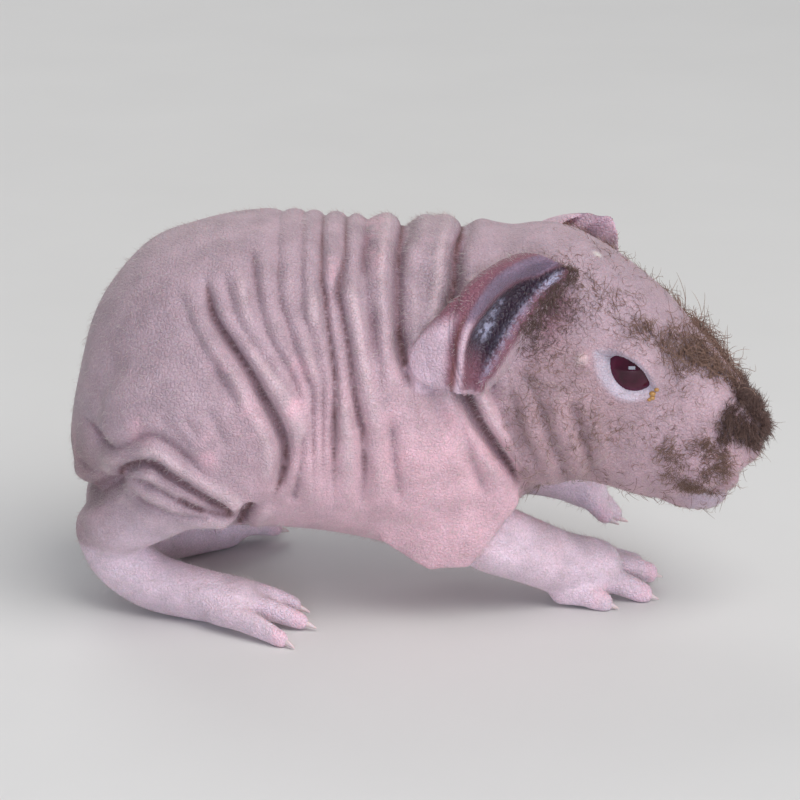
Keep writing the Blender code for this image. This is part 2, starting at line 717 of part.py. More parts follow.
parts = {}
parts["head"] = split(flesh, "head", lambda bm: head_cell(bm, 0), lambda bm: head_cell(bm, -GAP))
parts["neck"] = split(flesh, "neck", lambda bm: neck_cell(bm, 0), lambda bm: neck_cell(bm, -GAP))
floor = cutter("floor", lambda bm: box(bm, (-80, -60, -6), (80, 60, 0)))
for side, label in SIDES:
    foot = split(
        flesh, "hindfoot_" + label,
        lambda bm: foot_cell(bm, side, GAP), lambda bm: foot_cell(bm, side, 0),
    )
    place = hind_foot_frame(side)
    rows = [sided(row, side) for row in HIND_TOES]
    toes = [(place @ Vector(a), place @ Vector(b)) for a, b in rows]
    add_claws(foot, toes)
    boolean(foot, floor, "DIFFERENCE")
    keep_largest(foot)
    parts[foot.name] = foot

    name = "hindleg_" + label
    leg = copy_of(flesh, name)
    haunch = cutter("haunch_" + label, lambda bm: haunch_cell(bm, side, 0))
    boolean(haunch, cutter("shank_" + label, lambda bm: shank_cell(bm, side, 0)), "UNION")
    boolean(leg, haunch, "INTERSECT")
    keep_largest(leg)
    around = cutter("haunch_gap_" + label, lambda bm: haunch_cell(bm, side, GAP))
    boolean(around, cutter("shank_gap_" + label, lambda bm: shank_cell(bm, side, GAP)), "UNION")
    boolean(flesh, around, "DIFFERENCE")
    keep_largest(flesh)
    parts[name] = leg
flesh.name = "torso"
parts["torso"] = flesh

for side, label in SIDES:
    bm = bmesh.new()
    fore_limb(bm, side)
    leg = new_object("foreleg_" + label, bm)
    remesh(leg, LIMB_VOXEL)
    smooth(leg, np.ones(len(leg.data.vertices)), 5)
    stretch_to_floor(leg)
    reduce_to(leg, LIMB_TRIANGLES)
    boolean(leg, skin, "DIFFERENCE")
    keep_largest(leg)
    paw = split(
        leg, "forepaw_" + label,
        lambda bm: box(bm, (WRIST, -40, -5), (60, 40, 30)),
        lambda bm: box(bm, (WRIST - GAP, -40, -5), (60, 40, 30)),
    )
    add_claws(paw, FORE_TOES if side < 0 else FAR_TOES)
    boolean(paw, floor, "DIFFERENCE")
    keep_largest(paw)
    boolean(leg, floor, "DIFFERENCE")
    keep_largest(leg)
    parts[leg.name] = leg
    parts[paw.name] = paw

    bm = bmesh.new()
    place = head_frame() @ Matrix.Diagonal((1, side, 1, 1))
    if side > 0:
        place = place @ Matrix.Translation(EAR_SLIP)
    lean = [Vector(move) * (side > 0) for move in EAR_LEAN]
    grid = [
        [bm.verts.new(place @ (Vector(p) + move) * MM) for p, move in zip(row, lean)]
        for row in EAR
    ]
    for low, high in zip(grid, grid[1:]):
        for i in range(len(low) - 1):
            bm.faces.new((low[i], low[i + 1], high[i + 1], high[i]))
    ear = new_object("ear_" + label, bm)
    thick = ear.modifiers.new("Thickness", "SOLIDIFY")
    thick.thickness = EAR_THICKNESS * MM
    thick.offset = 0
    soft = ear.modifiers.new("Soft", "SUBSURF")
    soft.levels = 2
    soft.render_levels = 2
    apply_modifiers(ear)
    reduce_to(ear, EAR_TRIANGLES)
    boolean(ear, skin, "DIFFERENCE")
    keep_largest(ear)
    parts[ear.name] = ear

    bm = bmesh.new()
    turned = head_frame() @ Matrix.Translation((EYE[0], EYE[1] * side, EYE[2]))
    turned = Matrix.Scale(MM, 4) @ turned @ Matrix.Rotation(math.radians(90), 4, "X")
    bmesh.ops.create_uvsphere(
        bm, u_segments=20, v_segments=12, radius=1, matrix=turned @ Matrix.Scale(EYE_RADIUS, 4)
    )
    eye = new_object("eye_" + label, bm)
    parts[eye.name] = eye

    socket = cutter("socket_" + label, lambda bm: ball(
        bm, (EYE[0], EYE[1] * side, EYE[2]), (EYE_RADIUS + GAP,) * 3, head_frame(),
        segments=20
    ))
    low, high = sorted((EYE[1] * side, 18.0 * side))
    boolean(socket, cutter("lids_" + label, lambda bm: prism(
        bm, almond(side), low, high, head_frame()
    )), "UNION")
    boolean(parts["head"], socket, "DIFFERENCE")
    boolean(parts["head"], cutter("nostril_" + label, lambda bm: ball(
        bm, (NOSTRIL[0], NOSTRIL[1] * side, NOSTRIL[2]), (0.9, 0.5, 0.75), head_frame(),
        (0, 0, 20 * side), segments=10
    )), "DIFFERENCE")
    keep_largest(parts["head"])

TONES = {
    "torso": (0.50, 0.30, 0.30),
    "neck": (0.52, 0.31, 0.31),
    "head": (0.45, 0.27, 0.28),
    "ear": (0.33, 0.13, 0.16),
    "eye": (0.03, 0.002, 0.006),
    "foreleg": (0.62, 0.42, 0.44),
    "forepaw": (0.64, 0.44, 0.47),
    "hindleg": (0.52, 0.32, 0.33),
    "hindfoot": (0.62, 0.40, 0.44),
}
for name, part in parts.items():
    colour(part, TONES[name.split("_")[0]], 0.08 if name.startswith("eye") else 0.55)

corners = np.concatenate([coordinates(part) for part in parts.values()])
middle = (corners.min(0) + corners.max(0)) / 2
middle[2] = 0
for part in parts.values():
    move_to(part, coordinates(part) - middle)
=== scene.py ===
"""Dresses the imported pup: one bare skin with its folds, wet eyes, claws, and sparse curly hair.

The tables are in millimetres in the pup's drawing frame: +X where the nose points, -Y its right
side, +Z up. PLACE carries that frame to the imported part.
"""

import json
import math
from collections import namedtuple

import bmesh
import bpy
import numpy as np
from bpy.props import FloatProperty, FloatVectorProperty, IntProperty, PointerProperty
from bpy.types import Operator, Panel, PropertyGroup
from mathutils import Euler, Matrix, Vector, kdtree

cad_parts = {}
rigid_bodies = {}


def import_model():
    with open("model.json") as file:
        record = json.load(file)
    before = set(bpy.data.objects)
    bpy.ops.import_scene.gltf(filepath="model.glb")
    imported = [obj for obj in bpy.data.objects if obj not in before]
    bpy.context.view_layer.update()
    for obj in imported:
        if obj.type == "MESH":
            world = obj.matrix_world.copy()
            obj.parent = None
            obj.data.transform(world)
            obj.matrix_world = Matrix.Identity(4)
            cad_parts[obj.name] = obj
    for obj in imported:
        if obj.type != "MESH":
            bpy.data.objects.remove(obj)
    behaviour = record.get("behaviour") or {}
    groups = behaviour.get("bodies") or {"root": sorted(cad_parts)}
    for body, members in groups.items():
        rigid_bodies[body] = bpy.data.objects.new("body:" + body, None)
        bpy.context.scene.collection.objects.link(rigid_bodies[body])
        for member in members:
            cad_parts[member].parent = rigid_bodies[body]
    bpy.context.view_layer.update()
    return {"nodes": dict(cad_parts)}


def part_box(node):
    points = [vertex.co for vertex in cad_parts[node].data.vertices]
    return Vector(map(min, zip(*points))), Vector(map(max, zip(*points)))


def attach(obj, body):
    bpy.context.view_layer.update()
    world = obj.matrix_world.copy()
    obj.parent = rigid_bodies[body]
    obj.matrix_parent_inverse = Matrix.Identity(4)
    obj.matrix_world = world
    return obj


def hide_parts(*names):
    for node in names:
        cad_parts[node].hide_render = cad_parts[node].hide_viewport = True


bl_info = {
    "name": "Hairless Pup",
    "version": (1, 0, 0),
    "blender": (4, 5, 0),
    "location": "View3D > Sidebar > Pup",
    "description": "Builds the skin, eyes, claws, hair and stage of a hairless guinea pig pup",
    "category": "Object",
}

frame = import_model()

MM = 0.001
LABELS = {-1: "right", 1: "left"}
SIDES = tuple(LABELS)

# The head's own frame: its tip of the nose, turned toward the right side and tipped nose down.
HEAD_TIP = (52, -8.7, 28)
HEAD_YAW = -12
HEAD_PITCH = 22
HEAD = (
    Matrix.Translation(HEAD_TIP)
    @ Matrix.Rotation(math.radians(HEAD_YAW), 4, "Z")
    @ Matrix.Rotation(math.radians(HEAD_PITCH), 4, "Y")
)
HEAD_ROWS = np.array(HEAD)

# Spacing of the points while the trunk is blended and on the arms, how near the floor the skin
# and hair may come, how wide the folds' valleys are cut, how deep each hair's root is, and the
# size of its patch of the unwrap.
BLEND_VOXEL = 0.5
ARM_VOXEL = 0.35
FLOOR_GAP = 0.02
CUT_WIDTH = 0.45
ROOT_DEPTH = 0.12
STRAND_PATCH = 0.003
# How square the sections of the trunk and skull are, where 2 is an ellipse, and the sizes of the
# rings that round a limb's ends.
SQUARENESS = 2.2
CAP_SHARES = (0.3, 0.7, 0.93)

# The left eyeball's centre in the head's frame and its radius, how thick and soft the skin over it
# is, and the edge of the lid's opening in x and z, its middle, and which way the pale lid is wide.
# PLACE is where the drawing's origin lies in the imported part.
EYE = (-21.1, 7.9, 3.5)
LOW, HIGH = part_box("eye_right")
PLACE = (LOW + HIGH) / 2 / MM - HEAD @ Vector((EYE[0], -EYE[1], EYE[2]))
EYE_RADIUS = 4.2
LID = 0.7
LID_SOFTNESS = 0.9
LID_LINE = (
    (-26.2, 4.6), (-24.3, 5.5), (-21.7, 5.7), (-19.6, 5.2), (-18, 4.1), (-16.7, 2.5),
    (-17.5, 1.5), (-18.8, 0.8), (-20.6, 0.6), (-22.8, 1.4), (-24.6, 2.8), (-26.2, 4.6),
)
LID_MIDDLE = (-21.2, 3.1)
LID_DROOP = (-0.4, -0.9)
# The moist ring along the lid's edge: its half width and half thickness.
LID_RING = (0.27, 0.25)
AMBER = (0.42, 0.22, 0.07, 1)
# Dried drops at the front corner of each eye: x, z and size in the head's frame.
CRUMBS = ((-16.8, 2.6, 0.36), (-16.4, 2.1, 0.48), (-16.25, 1.5, 0.42), (-16.5, 1, 0.32))
# The ear's thickness, how far off its sheet its colours reach, what its points know of where they
# are, and how far the left ear and each column of its rows are moved.
EAR_THICKNESS = 0.95
EAR_REACH = 1.6
EAR_LAYERS = ("across", "down")
EAR_SLIP = (2, 0, 1.9)
EAR_LEAN = (
    (2, -1.5, -4), (0, 0, 0), (0, 0, -0.4), (0, 0, -1.7), (0, 0, -2.3), (0, 0, -3), (0, 0, -3.2),
)

# The folds of the skin seen from the side: depth, width, and the x and z of points along each. The
# same fold runs on the far side, a little off.
FOLDS = (
    (1.5, 0.9, ((-27.4, 53), (-26.8, 50.6), (-25.9, 47.3), (-23.5, 44), (-20.8, 40.1),
        (-19.1, 36.9), (-17.8, 34.5), (-16.4, 31.1), (-16, 28.5), (-16.4, 25.3), (-17.2, 22.9),
        (-19, 18.5))),
    (0.7, 0.8, ((-24.5, 53), (-23.9, 50.8), (-22.9, 47.8), (-20.7, 44.7), (-19.1, 42.8),
        (-15, 37.6))),
    (0.8, 0.8, ((-20.8, 56), (-20.5, 54), (-19.7, 49.7), (-18.3, 45.4), (-17, 43.1), (-15.2, 40),
        (-14.1, 37.2), (-13.4, 33.5))),
    (0.9, 0.8, ((-16.9, 66), (-16.9, 51.5), (-15.6, 46.6), (-14.3, 42.7), (-13.2, 39.9),
        (-12.2, 37.1), (-12.1, 32.1), (-12.1, 17))),
    (0.8, 0.7, ((-13.6, 66), (-13.7, 49.6), (-12.3, 45.2), (-11.1, 40.6), (-10.7, 36.4),
        (-10.9, 18))),
    (1.3, 0.8, ((-10.6, 66), (-11, 53.1), (-10.5, 49.6), (-10.1, 46.4), (-9.4, 41.9), (-9, 37.7),
        (-9.2, 30.5), (-9.4, 16))),
    (1.3, 0.8, ((-7.8, 66), (-7.7, 55.1), (-8.6, 50.7), (-8.2, 48.3), (-7.5, 45.1), (-6.9, 41.1),
        (-6.4, 36.9), (-5.6, 32.6), (-5.2, 30.4), (-4.9, 17))),
    (0.6, 1.3, ((-4, 66), (-4.9, 54), (-4.2, 46.9), (-3.6, 40))),
    (1.4, 1.2, ((2.1, 66), (1.4, 58), (0, 54.9), (-0.3, 49.2), (0, 44.2), (1.4, 37))),
    (1.9, 1.1, ((11.5, 66), (10, 57.5), (8.1, 54.7), (7.7, 50.8), (7, 47), (7.4, 42), (8.4, 38.5),
        (9.4, 35.8), (11.2, 31.7), (14.1, 26.8), (16.3, 23), (18.5, 17))),
    (0.8, 0.9, ((12.1, 41), (12.6, 37), (13.6, 34.5), (14.7, 32.2), (16.6, 28), (18.4, 24))),
    (0.7, 0.9, ((19.4, 36), (20.3, 31.2), (21.7, 28.2), (22.8, 25), (24.4, 19.5))),
    (0.9, 0.8, ((24, 35.5), (24.4, 33.5), (25.6, 29.8), (26.7, 26.5), (28.6, 19.5))),
    (0.4, 1.8, ((-30.5, 50), (-29.9, 48), (-27.7, 43.8), (-25.6, 40.6), (-22, 34.5))),
    (0.8, 1.2, ((-46.5, 31), (-43.6, 30), (-41.6, 28.5), (-39.1, 28.7), (-36.2, 30.6),
        (-33.9, 31.1), (-30.6, 29), (-28.1, 26.6), (-25.5, 23.5))),
    (1.5, 0.8, ((-39.6, 22), (-39.3, 23.5), (-39, 25.1), (-36.9, 26.5), (-34.6, 26.8),
        (-32.4, 25.3), (-29.1, 23), (-25.2, 20), (-23.9, 18.5), (-22, 16.5))),
    (0.9, 0.7, ((-39.2, 24.4), (-36.4, 24), (-33.6, 22.8), (-30.8, 21), (-28, 19.6),
        (-24.5, 18.2), (-22.5, 17.2))),
    (0.7, 0.7, ((-38.5, 22.7), (-36.8, 20.7), (-35.1, 19.8), (-32.6, 18.9), (-29.2, 18.2),
        (-25.5, 18.4))),
    (0.35, 1.8, ((3, 45), (3.5, 42.7), (4.2, 39.3), (4.9, 35.8), (6, 32.8), (7.5, 28.5))),
)

# Finer creases that only the skin has, written the same way.
CREASES = (
    (0.5, 1.2, ((-33.6, 34.1), (-32.2, 33), (-30.6, 31.4), (-28.9, 29.6))),
    (0.35, 1, ((-30.2, 34.4), (-29.1, 32.7), (-27.9, 30.9))),
    (0.35, 1, ((-27, 35.8), (-25.9, 33.8), (-24.7, 31.2), (-23.9, 29.5))),
    (0.3, 0.9, ((-26, 42), (-24.2, 38.7), (-22.4, 35.9))),
    (0.6, 0.7, ((-31.3, 21.9), (-29.7, 20.5), (-27.4, 18.9))),
    (0.8, 0.7, ((-13.3, 32.2), (-13.7, 28.4), (-14.1, 25.3), (-14.8, 21.9), (-15.2, 20.1))),
    (0.5, 0.8, ((-3.8, 49.4), (-3.6, 45.6), (-3.1, 41), (-2.8, 36.1))),
    (0.5, 1.6, ((-4, 56.5), (-5, 54.5), (-5.6, 51.2))),
    (0.6, 1.4, ((-0.6, 45.5), (0, 42.9), (0.7, 39.5), (1.9, 36.6))),
    (0.4, 0.8, ((-4.7, 28.9), (-5.1, 24.2), (-5.7, 18.9))),
    (0.6, 1.4, ((-1.4, 34.3), (-1, 29.3), (-0.5, 24.7), (0.4, 18.7))),
    (0.6, 1.4, ((8, 34.5), (9.3, 29.5), (11, 24.1), (12.6, 19.5))),
    (0.6, 1, ((14.9, 38.8), (15.8, 35.1), (16.8, 30.9), (18.3, 27.2), (19.9, 23.9))),
    (0.4, 0.9, ((12, 40.3), (13.1, 37.4), (14.4, 34.4))),
    (0.5, 1.2, ((16.7, 39.6), (18.9, 35.4), (20.7, 31.9))),
    (0.35, 1.2, ((3.5, 56.2), (2.9, 53.2), (3.3, 49.1))),
    (0.4, 1.2, ((-46.8, 23.6), (-44.2, 23.1), (-41.1, 23.5))),
    (1.8, 1.1, ((-23.4, 13.5), (-22.7, 15.6), (-22, 17.6), (-21.3, 19.4), (-20.7, 20.8))),
)
# Wide dents with no sharp valley.
DENTS = (
    (1.9, 1.5, ((-53, 14.5), (-49, 16.2), (-46, 18), (-42.8, 20.3), (-40.6, 22), (-38.5, 23.2))),
)
# Pinker blotches on the ridges, seen from the side.
BLOTCHES = (
    (-21.1, 33.8), (-24.6, 39.6), (-26.7, 28.8), (-14.7, 35.8), (-13.8, 40.4), (-9.1, 52.4),
    (-3.5, 55.4), (-1.4, 31.7), (0, 25.6), (-36.2, 32), (7, 32.8), (-46.4, 24.4),
)
# Small dark marks in the drawing and a pale one: place and radius.
SPECKS = (((-4.9, -25, 26.6), 0.45), ((-25.1, -24, 39), 0.3))
FLECK = ((-10.4, -20, 49.2), 0.4)
# The wart behind the eye and the scar above it, in the head's frame.
WART = (-27.6, -13.2, 3.1)
SCAR = (-32, -3, 14.8)
MOUTH = ((3, -4.6), (0.6, -5.2), (-1, -6.2), (-2.6, -8.2), (-4.2, -10.4), (-6.4, -12.8))
NOSTRIL = (0.5, 1.7, -0.3)

# Along the trunk: x, top, bottom, half width, height of the widest line.
TRUNK = (
    (-47.9, 26, 23, 1.5, 24.5), (-46.5, 33.5, 18, 7, 25.5), (-43.3, 44.6, 14, 12.5, 27),
    (-36.3, 53.3, 12.5, 17.5, 29), (-29, 56.3, 12.5, 20, 30), (-21.8, 57.8, 12.5, 20.8, 31),
    (-14.5, 57.9, 12, 20.3, 32), (-7.3, 57.4, 10.8, 19.5, 32), (0, 57.1, 9, 18.8, 31),
    (7.3, 57, 8, 17.6, 31), (12, 56.5, 10.5, 16.5, 34), (17, 55.5, 15.5, 15, 37),
    (22, 53, 19, 12, 38), (26, 48, 26, 8, 39),
)

# Along the head in its own frame, from the nose back.
SKULL = (
    (0.8, 0.7, -2, 1.5, -0.7), (0.2, 2.2, -4.6, 3.2, -1), (-1.6, 3.6, -9.3, 4.8, -1.7),
    (-4, 4.9, -11.9, 6.2, -2.5), (-8, 6.9, -14.4, 8, -3.5), (-12, 9, -15.9, 9.5, -4),
    (-18, 11.6, -16.6, 11.5, -4), (-25, 13.8, -18.3, 13.3, -3), (-32, 15.2, -20.3, 14.4, -2),
    (-39, 15.2, -18, 13.8, -1), (-45, 12, -12, 10.5, 0), (-49, 5, -5, 5, 0),
)

# The round masses that blend into the skull and the trunk: centre on the left side, and radii.
CHIN = ((-8.5, 0, -11.4), (7.5, 4.6, 4.2))
JOWL = ((-29, 10.5, -8), (10, 4.5, 10))
MUZZLE = ((-6.8, 3.9, -6.2), (6.6, 4, 5))
HAUNCH = ((-28, 13.8, 30), (14.5, 7.5, 14.5))
HAUNCH_TURN = (0, 20, 0)

# The skin apron over the upper arm, whose lower front edge hangs free.
APRON = (
    (17.4, 13.4, 18.6), (10.2, 13.4, 8.8), (4, 13, 8.4), (-3, 13.5, 13), (-4, 17.5, 30),
    (9, 16.8, 36), (16, 14.6, 30), (15, 6, 20), (8, 5, 10.5), (0, 6, 12),
)

# The ear as rows from its top front root down to its tip, in the head's frame, each row from the
# cheek across the front rim, the cup, the back rim and the crease to the back edge.
EAR = (
    ((-32.2, 8.5, 13.9), (-34.4, 13.8, 14.9), (-35.8, 11.2, 14.4), (-37.4, 13.8, 15.2),
     (-38.6, 13.2, 14.9), (-40.6, 12.2, 14), (-42.6, 9.5, 11.6)),
    ((-33.9, 10.8, 9), (-37, 15.8, 10), (-39.2, 11.6, 9.6), (-41.9, 17.2, 11.4),
     (-43, 16.6, 11.3), (-44.3, 16.4, 10.9), (-45.5, 15, 8.7)),
    ((-35, 12.4, 5), (-37.8, 17.4, 6.3), (-40.5, 12.8, 6.3), (-42.7, 19.2, 7.7),
     (-43.9, 18.4, 7.5), (-45.7, 18.8, 7.4), (-47.3, 17.6, 4.7)),
    ((-35.8, 13.4, 0.8), (-38.3, 18.6, 2.2), (-41.1, 14, 2), (-43.3, 20.2, 3.9),
     (-44.5, 19.4, 3.8), (-46.9, 20, 3.8), (-49, 19, 0)),
    ((-36.9, 14.4, -3.4), (-38.5, 19.4, -1.8), (-41.4, 15.6, -1.5), (-43.4, 20.6, 0.4),
     (-44, 19.8, 0.2), (-47.8, 20.2, -0.6), (-50.9, 19.2, -6.6)),
    ((-38, 15.6, -6.9), (-38.9, 19.6, -6.2), (-39.6, 18.6, -6.8), (-40.2, 20.2, -7.2),
     (-42, 19.8, -7.2), (-44.2, 19.8, -7.8), (-45.8, 19.2, -8.2)),
)

# The limbs as rows of x, y, z, half width and half thickness, and the root and tip of each toe. The
# hind foot and its toes are in the foot's own frame, which starts at the heel and whose turn and
# distance from the middle differ with the side.
HEEL = -41.5
HIND_FOOT_TURNS = {-1: (-16, 6.3), 1: (40, 8)}
HIND_SHANK = (
    (-18.5, 14.5, 24.5, 5, 4.8), (-27, 13.8, 22, 5.2, 4.8), (-34, 11.6, 18.2, 5, 5),
    (-41, 8.6, 14.6, 4.6, 5.4),
)
HIND_FOOT = (
    (-0.8, 0.3, 13.2, 4, 5), (1.2, 0, 8.2, 4, 4.8), (5.5, 0, 5.3, 3.7, 4.2),
    (12.5, 0.2, 4.1, 3.9, 3.6), (19, 0.2, 3.5, 4.5, 3.2),
)
HIND_TOES = (
    ((17.5, -2.6, 4), (26.4, -3.6, 2.3)),
    ((18, 0.3, 3.3), (28.6, 0.2, 1.6)),
    ((16.5, 3.2, 2.9), (27.8, 7, 1.4)),
)
FORE_LIMBS = {
    -1: ((9, -8.8, 14.2, 3.6, 4.4), (13, -8.4, 12, 4.2, 5.2), (18, -6.6, 9.4, 4.1, 4.9),
        (23.5, -3.6, 6.3, 4.4, 4.6), (28.5, -1.2, 4.7, 4.6, 4.2)),
    1: ((8, 9, 16.8, 3.8, 4.4), (14, 12, 16, 4, 4.4), (20, 14.4, 14.4, 3.7, 3.9),
        (25, 16.2, 12.4, 3.7, 3.5), (28.2, 17.2, 10.6, 3.9, 3.3)),
}
FORE_TOES = {
    -1: (((27, 2.2, 5), (35, 6.2, 2.6)), ((28.5, 0.6, 4.6), (37, 3.4, 2.2)),
        ((28.5, -2.4, 3.6), (35.8, -3, 1.5)), ((23.6, -4.9, 2.6), (29.8, -6.3, 1.4))),
    1: (((27.7, 14.8, 10.2), (31, 13.9, 7.2)), ((28.7, 16.4, 9.8), (32.5, 16.4, 6.5)),
        ((28.5, 18.4, 9.8), (31.8, 19.4, 6.5)), ((26.7, 19.8, 10.2), (29, 21.8, 7.4))),
}

# Where each kind of hair grows on the head: x, y on either side, z, reach and thickness there.
NOSE_CAP = (
    (-4.8, 2.6, 4.8, 1.5, 0.8), (-2, 1.9, 3.4, 1.7, 1), (0, 1.6, 1.8, 1.7, 1),
    (-4.7, 5.5, 1.7, 1.5, 0.9), (-4.6, 6.2, -0.8, 1.2, 0.6), (-0.9, 3.6, 0.4, 1.5, 0.9),
    (-2.5, 4.6, 1.2, 1.8, 1), (0.3, 0, 1.2, 1.7, 1), (-3, 0, 4.6, 1.8, 0.9),
)
BRIDGE = (
    (-7.3, 2.2, 6.3, 1.3, 0.6), (-9.8, 3.2, 7.4, 1.5, 0.9), (-12.2, 4.2, 8, 1.7, 1),
    (-14.1, 3.2, 9.4, 1.6, 0.6), (-14.6, 6, 8.2, 1.6, 1), (-14.4, 8, 5.8, 0.9, 0.3),
    (-17.4, 8.2, 8.9, 1.4, 0.8), (-20.8, 8.8, 9.8, 1.3, 0.6), (-17, 6, 10, 1.4, 0.5),
)
WHISKER_PAD = (
    (-6.8, 7.5, -3.5, 1.6, 0.8), (-3.9, 7.3, -4.7, 1.5, 1), (-9.4, 8.4, -6.1, 1.5, 0.4),
    (-6.6, 7.1, -9.4, 1.6, 0.7), (-3.6, 5, -9.6, 1, 0.4), (-11.4, 9.1, -5.1, 1.4, 0.6),
    (-5.4, 7.4, -6.3, 1.4, 0.6), (-9.6, 8.2, -9, 1.3, 0.4),
)
EAR_FRONT = (
    (-35.3, 13.8, 11.3, 2.4, 0.9), (-34.8, 13.4, 8.6, 2.6, 1), (-35.2, 14, 5.6, 2.5, 0.9),
    (-34, 13.9, 3, 2.4, 0.5), (-32.2, 12.8, 8, 2.8, 0.45), (-33.8, 12, 13.8, 2.2, 0.9),
)
CURLS = (
    (-33, 10.9, 14.2, 2.2, 0.8), (-30.1, 9.6, 11.8, 2.6, 0.8), (-25.8, 9.4, 10.6, 2.4, 0.8),
    (-22, 9.6, 9.4, 2.2, 0.9), (-18.5, 11.6, -5.3, 1.3, 1), (-22.6, 13.6, -5.7, 3, 0.5),
    (-15, 10.5, -3.1, 2.4, 0.5), (-28, 13.5, -1, 4, 0.5), (-14.5, 9, 3.6, 1.3, 0.6),
    (-31, 13.5, -7, 4.5, 0.4),
)

# Along each claw: how far beyond the toe's tip, and the radius there. Then how far the claws lie
# below the drawn toes, and how near the floor they come.
CLAW = ((-0.5, 0.60), (0, 0.60), (0.3, 0.52), (0.6, 0.38), (0.85, 0.22), (1, 0.1))
CLAW_DROP = 0.5
CLAW_GAP = 0.05

# How each piece of hair looks: its tufts, the hairs in each and the steps along a hair; length and
# width; degrees that it rises, bends back and curls; and how far it strays and tufts spread.
Look = namedtuple("Look", "tufts each steps length width rise bend curl stray clump")
LOOKS = {
    "hair_nose": Look(1250, 4, 4, 1.6, 0.052, 46, 30, 80, 0.8, 0.7),
    "hair_bridge": Look(620, 2, 7, 2.5, 0.056, 34, 32, 230, 1.3, 0.9),
    "hair_loose": Look(220, 1, 12, 4.4, 0.058, 36, 28, 290, 1.2, 0.9),
    "hair_pads": Look(3200, 1, 4, 1.2, 0.042, 30, 24, 90, 0.9, 0.8),
    "hair_ear_front": Look(5200, 1, 5, 1.2, 0.044, 16, 10, 140, 0.9, 0.6),
    "hair_curls": Look(2600, 1, 7, 2.1, 0.042, 14, 8, 230, 1.5, 0.5),
    "fuzz_face": Look(8000, 1, 4, 0.9, 0.026, 22, 15, 130, 1.2, 0.5),
    "down_back": Look(9000, 1, 3, 0.9, 0.022, 38, 22, 50, 0.5, 0.5),
    "down_flanks": Look(9000, 1, 3, 0.9, 0.022, 38, 22, 50, 0.5, 0.5),
    "down_feet": Look(6000, 1, 3, 0.9, 0.022, 38, 22, 50, 0.5, 0.5),
}

# The lights: place from the camera's target in metres, size, share of the key light, and tint. Then
# the tint and strength of the sky, and how far the floor lies under the feet.
LIGHTS = (
    ("key", (0.42, -0.50, 0.95), (0.9, 0.9), 1, (1, 0.985, 0.96)),
    ("fill", (0.85, -0.55, 0.30), (0.6, 0.6), 0.18, (0.95, 0.97, 1)),
    ("back", (-0.3, 0.8, 0.6), (0.6, 0.6), 0.2, (1, 1, 1)),
    ("window", (0.01, -0.74, 0.13), (0.34, 0.16), 0.19, (0.72, 0.84, 1)),
)
SKY = (0.93, 0.96, 1, 1)
SKY_STRENGTH = 0.34
FLOOR_DROP = 0.0001

# The camera: how far from its target, how high above the floor it looks from, and the drawing's
# millimetres for each pixel of the 800 pixel frame at the target.
CAMERA_TARGET = (0, 0, 30)
CAMERA_DISTANCE = 480
CAMERA_ELEVATION = 18
MM_PER_PIXEL = 0.145
FRAME_PIXELS = 800
SENSOR = 36

FLESH_NODES = (
    "torso", "neck", "head", "ear_right", "ear_left", "foreleg_right", "foreleg_left",
    "forepaw_right", "forepaw_left", "hindleg_right", "hindleg_left", "hindfoot_right",
    "hindfoot_left",
)

# What the skin's operator leaves for those after it: the skin's points, which way each faces, the
# lie of the hair there, the nodes that it is near, where hair can't grow, and the hair's draw and
# fullness.
MADE = {}


def colour(name, description, *default):
    return FloatVectorProperty(
        name=name, description=description, default=default, subtype="COLOR", size=3, min=0, max=1
    )


class PupSkinSettings(PropertyGroup):
    """The skin's grain and its colours."""

    voxel: FloatProperty(
        name="Grain of the mesh", description="Spacing of the skin's points",
        default=0.0003, unit="LENGTH", min=0.0002, max=0.001,
    )
    mauve: colour("Back", "Skin of the back and rump", 0.46, 0.325, 0.375)
    blush: colour("Flank", "Pinker skin of the flanks and chest", 0.76, 0.475, 0.54)
    lilac: colour("Paws", "Pale skin of the paws and feet", 0.78, 0.60, 0.69)
    dusk: colour("Face", "Browner skin of the cheeks and muzzle", 0.40, 0.25, 0.27)
    # Painted shade: the sides of the folds are darkened in colour for the shade that falls there.
    shade: colour("Fold sides", "Darker skin beside the folds", 0.28, 0.165, 0.205)
    # Painted light: the crests of the folds are lightened in colour for the light that falls on
    # them.
    crest_light: colour("Fold crests", "Lighter skin on the crests", 0.72, 0.54, 0.58)
    # Red brown skin deep in the folds, darkened further as painted shade in the valleys, the ear's
    # crease, the mouth and under the rump.
    valley_tone_and_shade: colour("Folds", "Red brown skin deep in the folds", 0.17, 0.055, 0.05)
    flush: colour("Blotches", "Pink blotches on the ridges", 0.80, 0.44, 0.52)
    ear: colour("Ear", "Back of the ear", 0.23, 0.085, 0.12)
    # The pale of the hanging flap, also painted over the far ear as painted light.
    flap_and_lit_ear: colour("Ear flap", "Pale hanging flap of the ear", 0.72, 0.51, 0.60)
    # The inside of the ear, nearly black as painted shade of its hollow.
    cup: colour("Ear cup", "Inside of the ear", 0.030, 0.012, 0.028)
    rim: colour("Ear rim", "Rolled rim of the ear", 0.20, 0.135, 0.20)
    # Painted highlight: the pale bluish colour stands for the sky's reflection on the ear's moist
    # ridge and in its cup.
    ridge_highlight: colour("Ear ridge", "Moist bluish ridge in the ear", 0.46, 0.44, 0.60)
    pale: colour("Lids", "Whitish skin of the lids and chin", 0.58, 0.49, 0.58)
    # The specks' near black is also painted as shade at the bottoms of the deepest folds.
    mark: colour("Specks", "Dark specks on the skin", 0.03, 0.012, 0.012)
    fleck: colour("Flecks", "Whitish flecks and the wart", 0.85, 0.78, 0.72)


class PupEyeSettings(PropertyGroup):
    """The eyes."""

    maroon: colour("Iris", "Deep red brown of the iris", 0.066, 0.002, 0.019)
    pupil: colour("Pupil", "Nearly black middle", 0.036, 0.001, 0.011)


